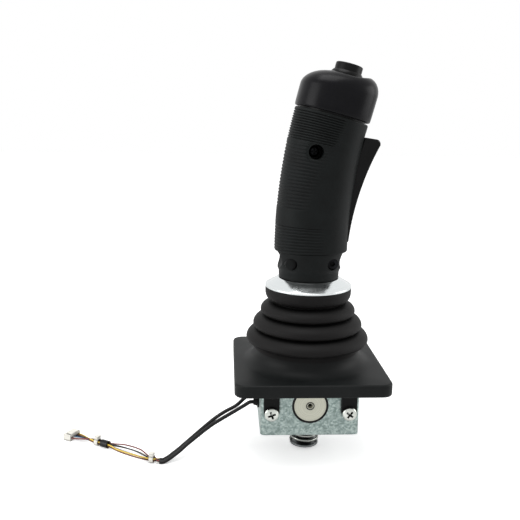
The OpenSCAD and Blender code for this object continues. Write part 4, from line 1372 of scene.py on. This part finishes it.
@dataclass
class Harness:
    """Two sheathed cables, the leads that they let go, and the plug."""

    sheath_d: float = 2.2
    lead_d: float = 0.8
    sheath_tie: Point = (-88.8, -21.2, -44.8)
    sleeve: Point = (-118.2, -2.6, -44.8)
    lead_tie: Point = (-123.2, 0.3, -44.8)
    plug: Point = (-138.4, 8.9, -45.2)
    tie_angle: float = 165.0
    run_angle: float = 150.0
    slot_pitch: float = 1.05
    pin_pitch: float = 1.25
    slots: tuple[tuple[float, float], ...] = (
        (1, 0.5), (1, -0.5), (0, 0.5), (-1, 0.5), (-1, -0.5), (0, -0.5)
    )
    starts: tuple[Point, ...] = (
        (0, 0.5, 0.28), (0, 0, -0.58), (0, -0.5, 0.28), (1, 0, 0.58), (1, -0.5, -0.28),
        (1, 0.5, -0.28),
    )
    strays: tuple[tuple[float, float], ...] = (
        (5.6, 2.6), (2.4, 0.4), (1.6, 2.2), (-1.6, 1.6), (-3.2, -0.6), (-0.6, -1.0)
    )
    pins: tuple[int, ...] = (0, 1, 2, 5, 4, 3)

    def build(self) -> None:
        """Lays the sheaths, then the leads, and dresses the ties and the plug."""
        for node in ("sheath_tie", "lead_sleeve", "lead_tie", "connector"):
            dress(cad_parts[node], SHEATH_PVC if node == "lead_sleeve" else NATURAL_NYLON)
        self._cord(
            "cable_a", self._sheath_a(), self.sheath_d, SHEATH_PVC,
        )
        self._cord(
            "cable_b", self._sheath_b(), self.sheath_d, SHEATH_PVC
        )
        for i, colour in enumerate(Colour):
            name, tone, second = colour.value
            self._cord(
                f"lead_{name}", self._lead(i), self.lead_d, lead_pvc(name, tone, second),
            )

    def _sheath_a(self) -> list[Vector]:
        """Returns the route of the cable that leaves the housing behind."""
        return [Vector(p) for p in (
            (-31, 6, -17.5), (-32.6, 6, -17.5), (-36.3, 4.8, -20.2), (-41, 2.6, -23.6),
            (-47.3, 0.4, -26.2), (-53.5, -3, -29), (-67.6, -11, -38), (-75.3, -16.4, -42.6),
            (-82.4, -20.2, -46), (-84.4, -20.2, -46))]

    def _sheath_b(self) -> list[Vector]:
        """Returns the route of the cable that leaves the housing in front."""
        return [Vector(p) for p in (
            (-31, -6, -17.5), (-32.6, -6, -17.5), (-37.3, -5.9, -20.4), (-43, -5.8, -24),
            (-49, -7, -27.2), (-55.3, -9, -30.4), (-68.2, -14.6, -38.6), (-75.3, -19.4, -42.9),
            (-82.2, -22.8, -46), (-84.4, -22.8, -46))]

    @staticmethod
    def _level(angle: float) -> Vector:
        """Returns the level direction at an angle in degrees."""
        return Vector((math.cos(math.radians(angle)), math.sin(math.radians(angle)), 0))

    def _slot(self, i: int, angle: float) -> Vector:
        """Returns a lead's offset inside the flat bundle."""
        across, up = self.slots[i]
        return (
            self._level(angle + 90) * across * self.slot_pitch
            + Vector((0, 0, up * self.slot_pitch))
        )

    def _lead(self, i: int) -> list[Vector]:
        """Returns a lead's route from its sheath's end to its pin."""
        cable, side, up = self.starts[i]
        end = (self._sheath_a() if cable == 0 else self._sheath_b())[-1]
        start = end + Vector((0, side, up))
        tie_run, run = self._level(self.tie_angle), self._level(self.run_angle)
        aside = self._level(self.run_angle - 90)
        tie = Vector(self.sheath_tie) + self._slot(i, self.tie_angle)
        entry = Vector(self.sleeve) - run * 3.1 + self._slot(i, self.run_angle)
        leave = Vector(self.lead_tie) + run * 1.8 + self._slot(i, self.run_angle)
        pin = Vector(self.plug) + aside * (2.5 - self.pins[i]) * self.pin_pitch
        along, rise = self.strays[i]
        stray = aside * -along + Vector((0, 0, rise))
        return [
            start, start - Vector((1, 0, 0)), tie - tie_run * 1.5, tie + tie_run * 1.5,
            tie * 0.7 + entry * 0.3 + stray * 0.8, tie * 0.34 + entry * 0.66 + stray * 0.8,
            entry, leave, pin - run * 2.2, pin,
        ]

    @staticmethod
    def _smooth(route: Sequence[Vector], count: int) -> list[Vector]:
        """Returns count points at even steps on a smooth curve through the route."""
        fine: list[Vector] = []
        for k in range(len(route) - 1):
            p1, p2 = route[k], route[k + 1]
            p0 = route[k - 1] if k else p1 * 2 - p2
            p3 = route[k + 2] if k + 2 < len(route) else p2 * 2 - p1
            t = [0.0]
            for a, b in ((p0, p1), (p1, p2), (p2, p3)):
                t.append(t[-1] + math.sqrt((b - a).length))
            for step in range(16):
                x = t[1] + (t[2] - t[1]) * step / 16
                a1 = p0 * ((t[1] - x) / (t[1] - t[0])) + p1 * ((x - t[0]) / (t[1] - t[0]))
                a2 = p1 * ((t[2] - x) / (t[2] - t[1])) + p2 * ((x - t[1]) / (t[2] - t[1]))
                a3 = p2 * ((t[3] - x) / (t[3] - t[2])) + p3 * ((x - t[2]) / (t[3] - t[2]))
                b1 = a1 * ((t[2] - x) / (t[2] - t[0])) + a2 * ((x - t[0]) / (t[2] - t[0]))
                b2 = a2 * ((t[3] - x) / (t[3] - t[1])) + a3 * ((x - t[1]) / (t[3] - t[1]))
                fine.append(b1 * ((t[2] - x) / (t[2] - t[1])) + b2 * ((x - t[1]) / (t[2] - t[1])))
        fine.append(route[-1])
        lengths = [0.0]
        for a, b in zip(fine, fine[1:]):
            lengths.append(lengths[-1] + (b - a).length)
        out, k = [], 0
        for i in range(count):
            want = lengths[-1] * i / (count - 1)
            while k < len(fine) - 2 and lengths[k + 1] < want:
                k += 1
            f = (want - lengths[k]) / max(lengths[k + 1] - lengths[k], 1e-9)
            out.append(fine[k].lerp(fine[k + 1], min(max(f, 0.0), 1.0)))
        return out

    def _cord(
        self,
        node: str,
        route: Sequence[Vector],
        diameter: float,
        finish: Finish,
    ) -> None:
        """Lays one round cord along a route in place of its solid.

        Args:
            node: The solid that it stands for.
            route: Points that it passes, in millimetres.
            diameter: Its thickness in millimetres.
            finish: Its finish.
        """
        points = self._smooth(route, 36)
        curve = bpy.data.curves.new(f"{node}_laid", "CURVE")
        curve.dimensions = "3D"
        curve.bevel_depth = diameter / 2 * MM
        curve.bevel_resolution = 4
        curve.resolution_u = 3
        curve.use_fill_caps = True
        spline = curve.splines.new("BEZIER")
        spline.bezier_points.add(len(points) - 1)
        for spot, point in zip(spline.bezier_points, points):
            spot.co = point * MM
            spot.handle_left_type = spot.handle_right_type = "AUTO"
        cord = bpy.data.objects.new(f"{node}_laid", curve)
        bpy.context.collection.objects.link(cord)
        dress(cord, finish)
        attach(cord, "base")
        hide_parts(node)


def main() -> None:
    """Builds the looks piece by piece."""
    logging.basicConfig(level=logging.INFO, format="%(message)s")
    Studio().build()
    Harness().build()
    Base().build()
    Boot().build()
    Neck().build()
    Grip().build()
    Head().build()
    Trigger().build()
    Drive().build()


if __name__ == "__main__":
    main()
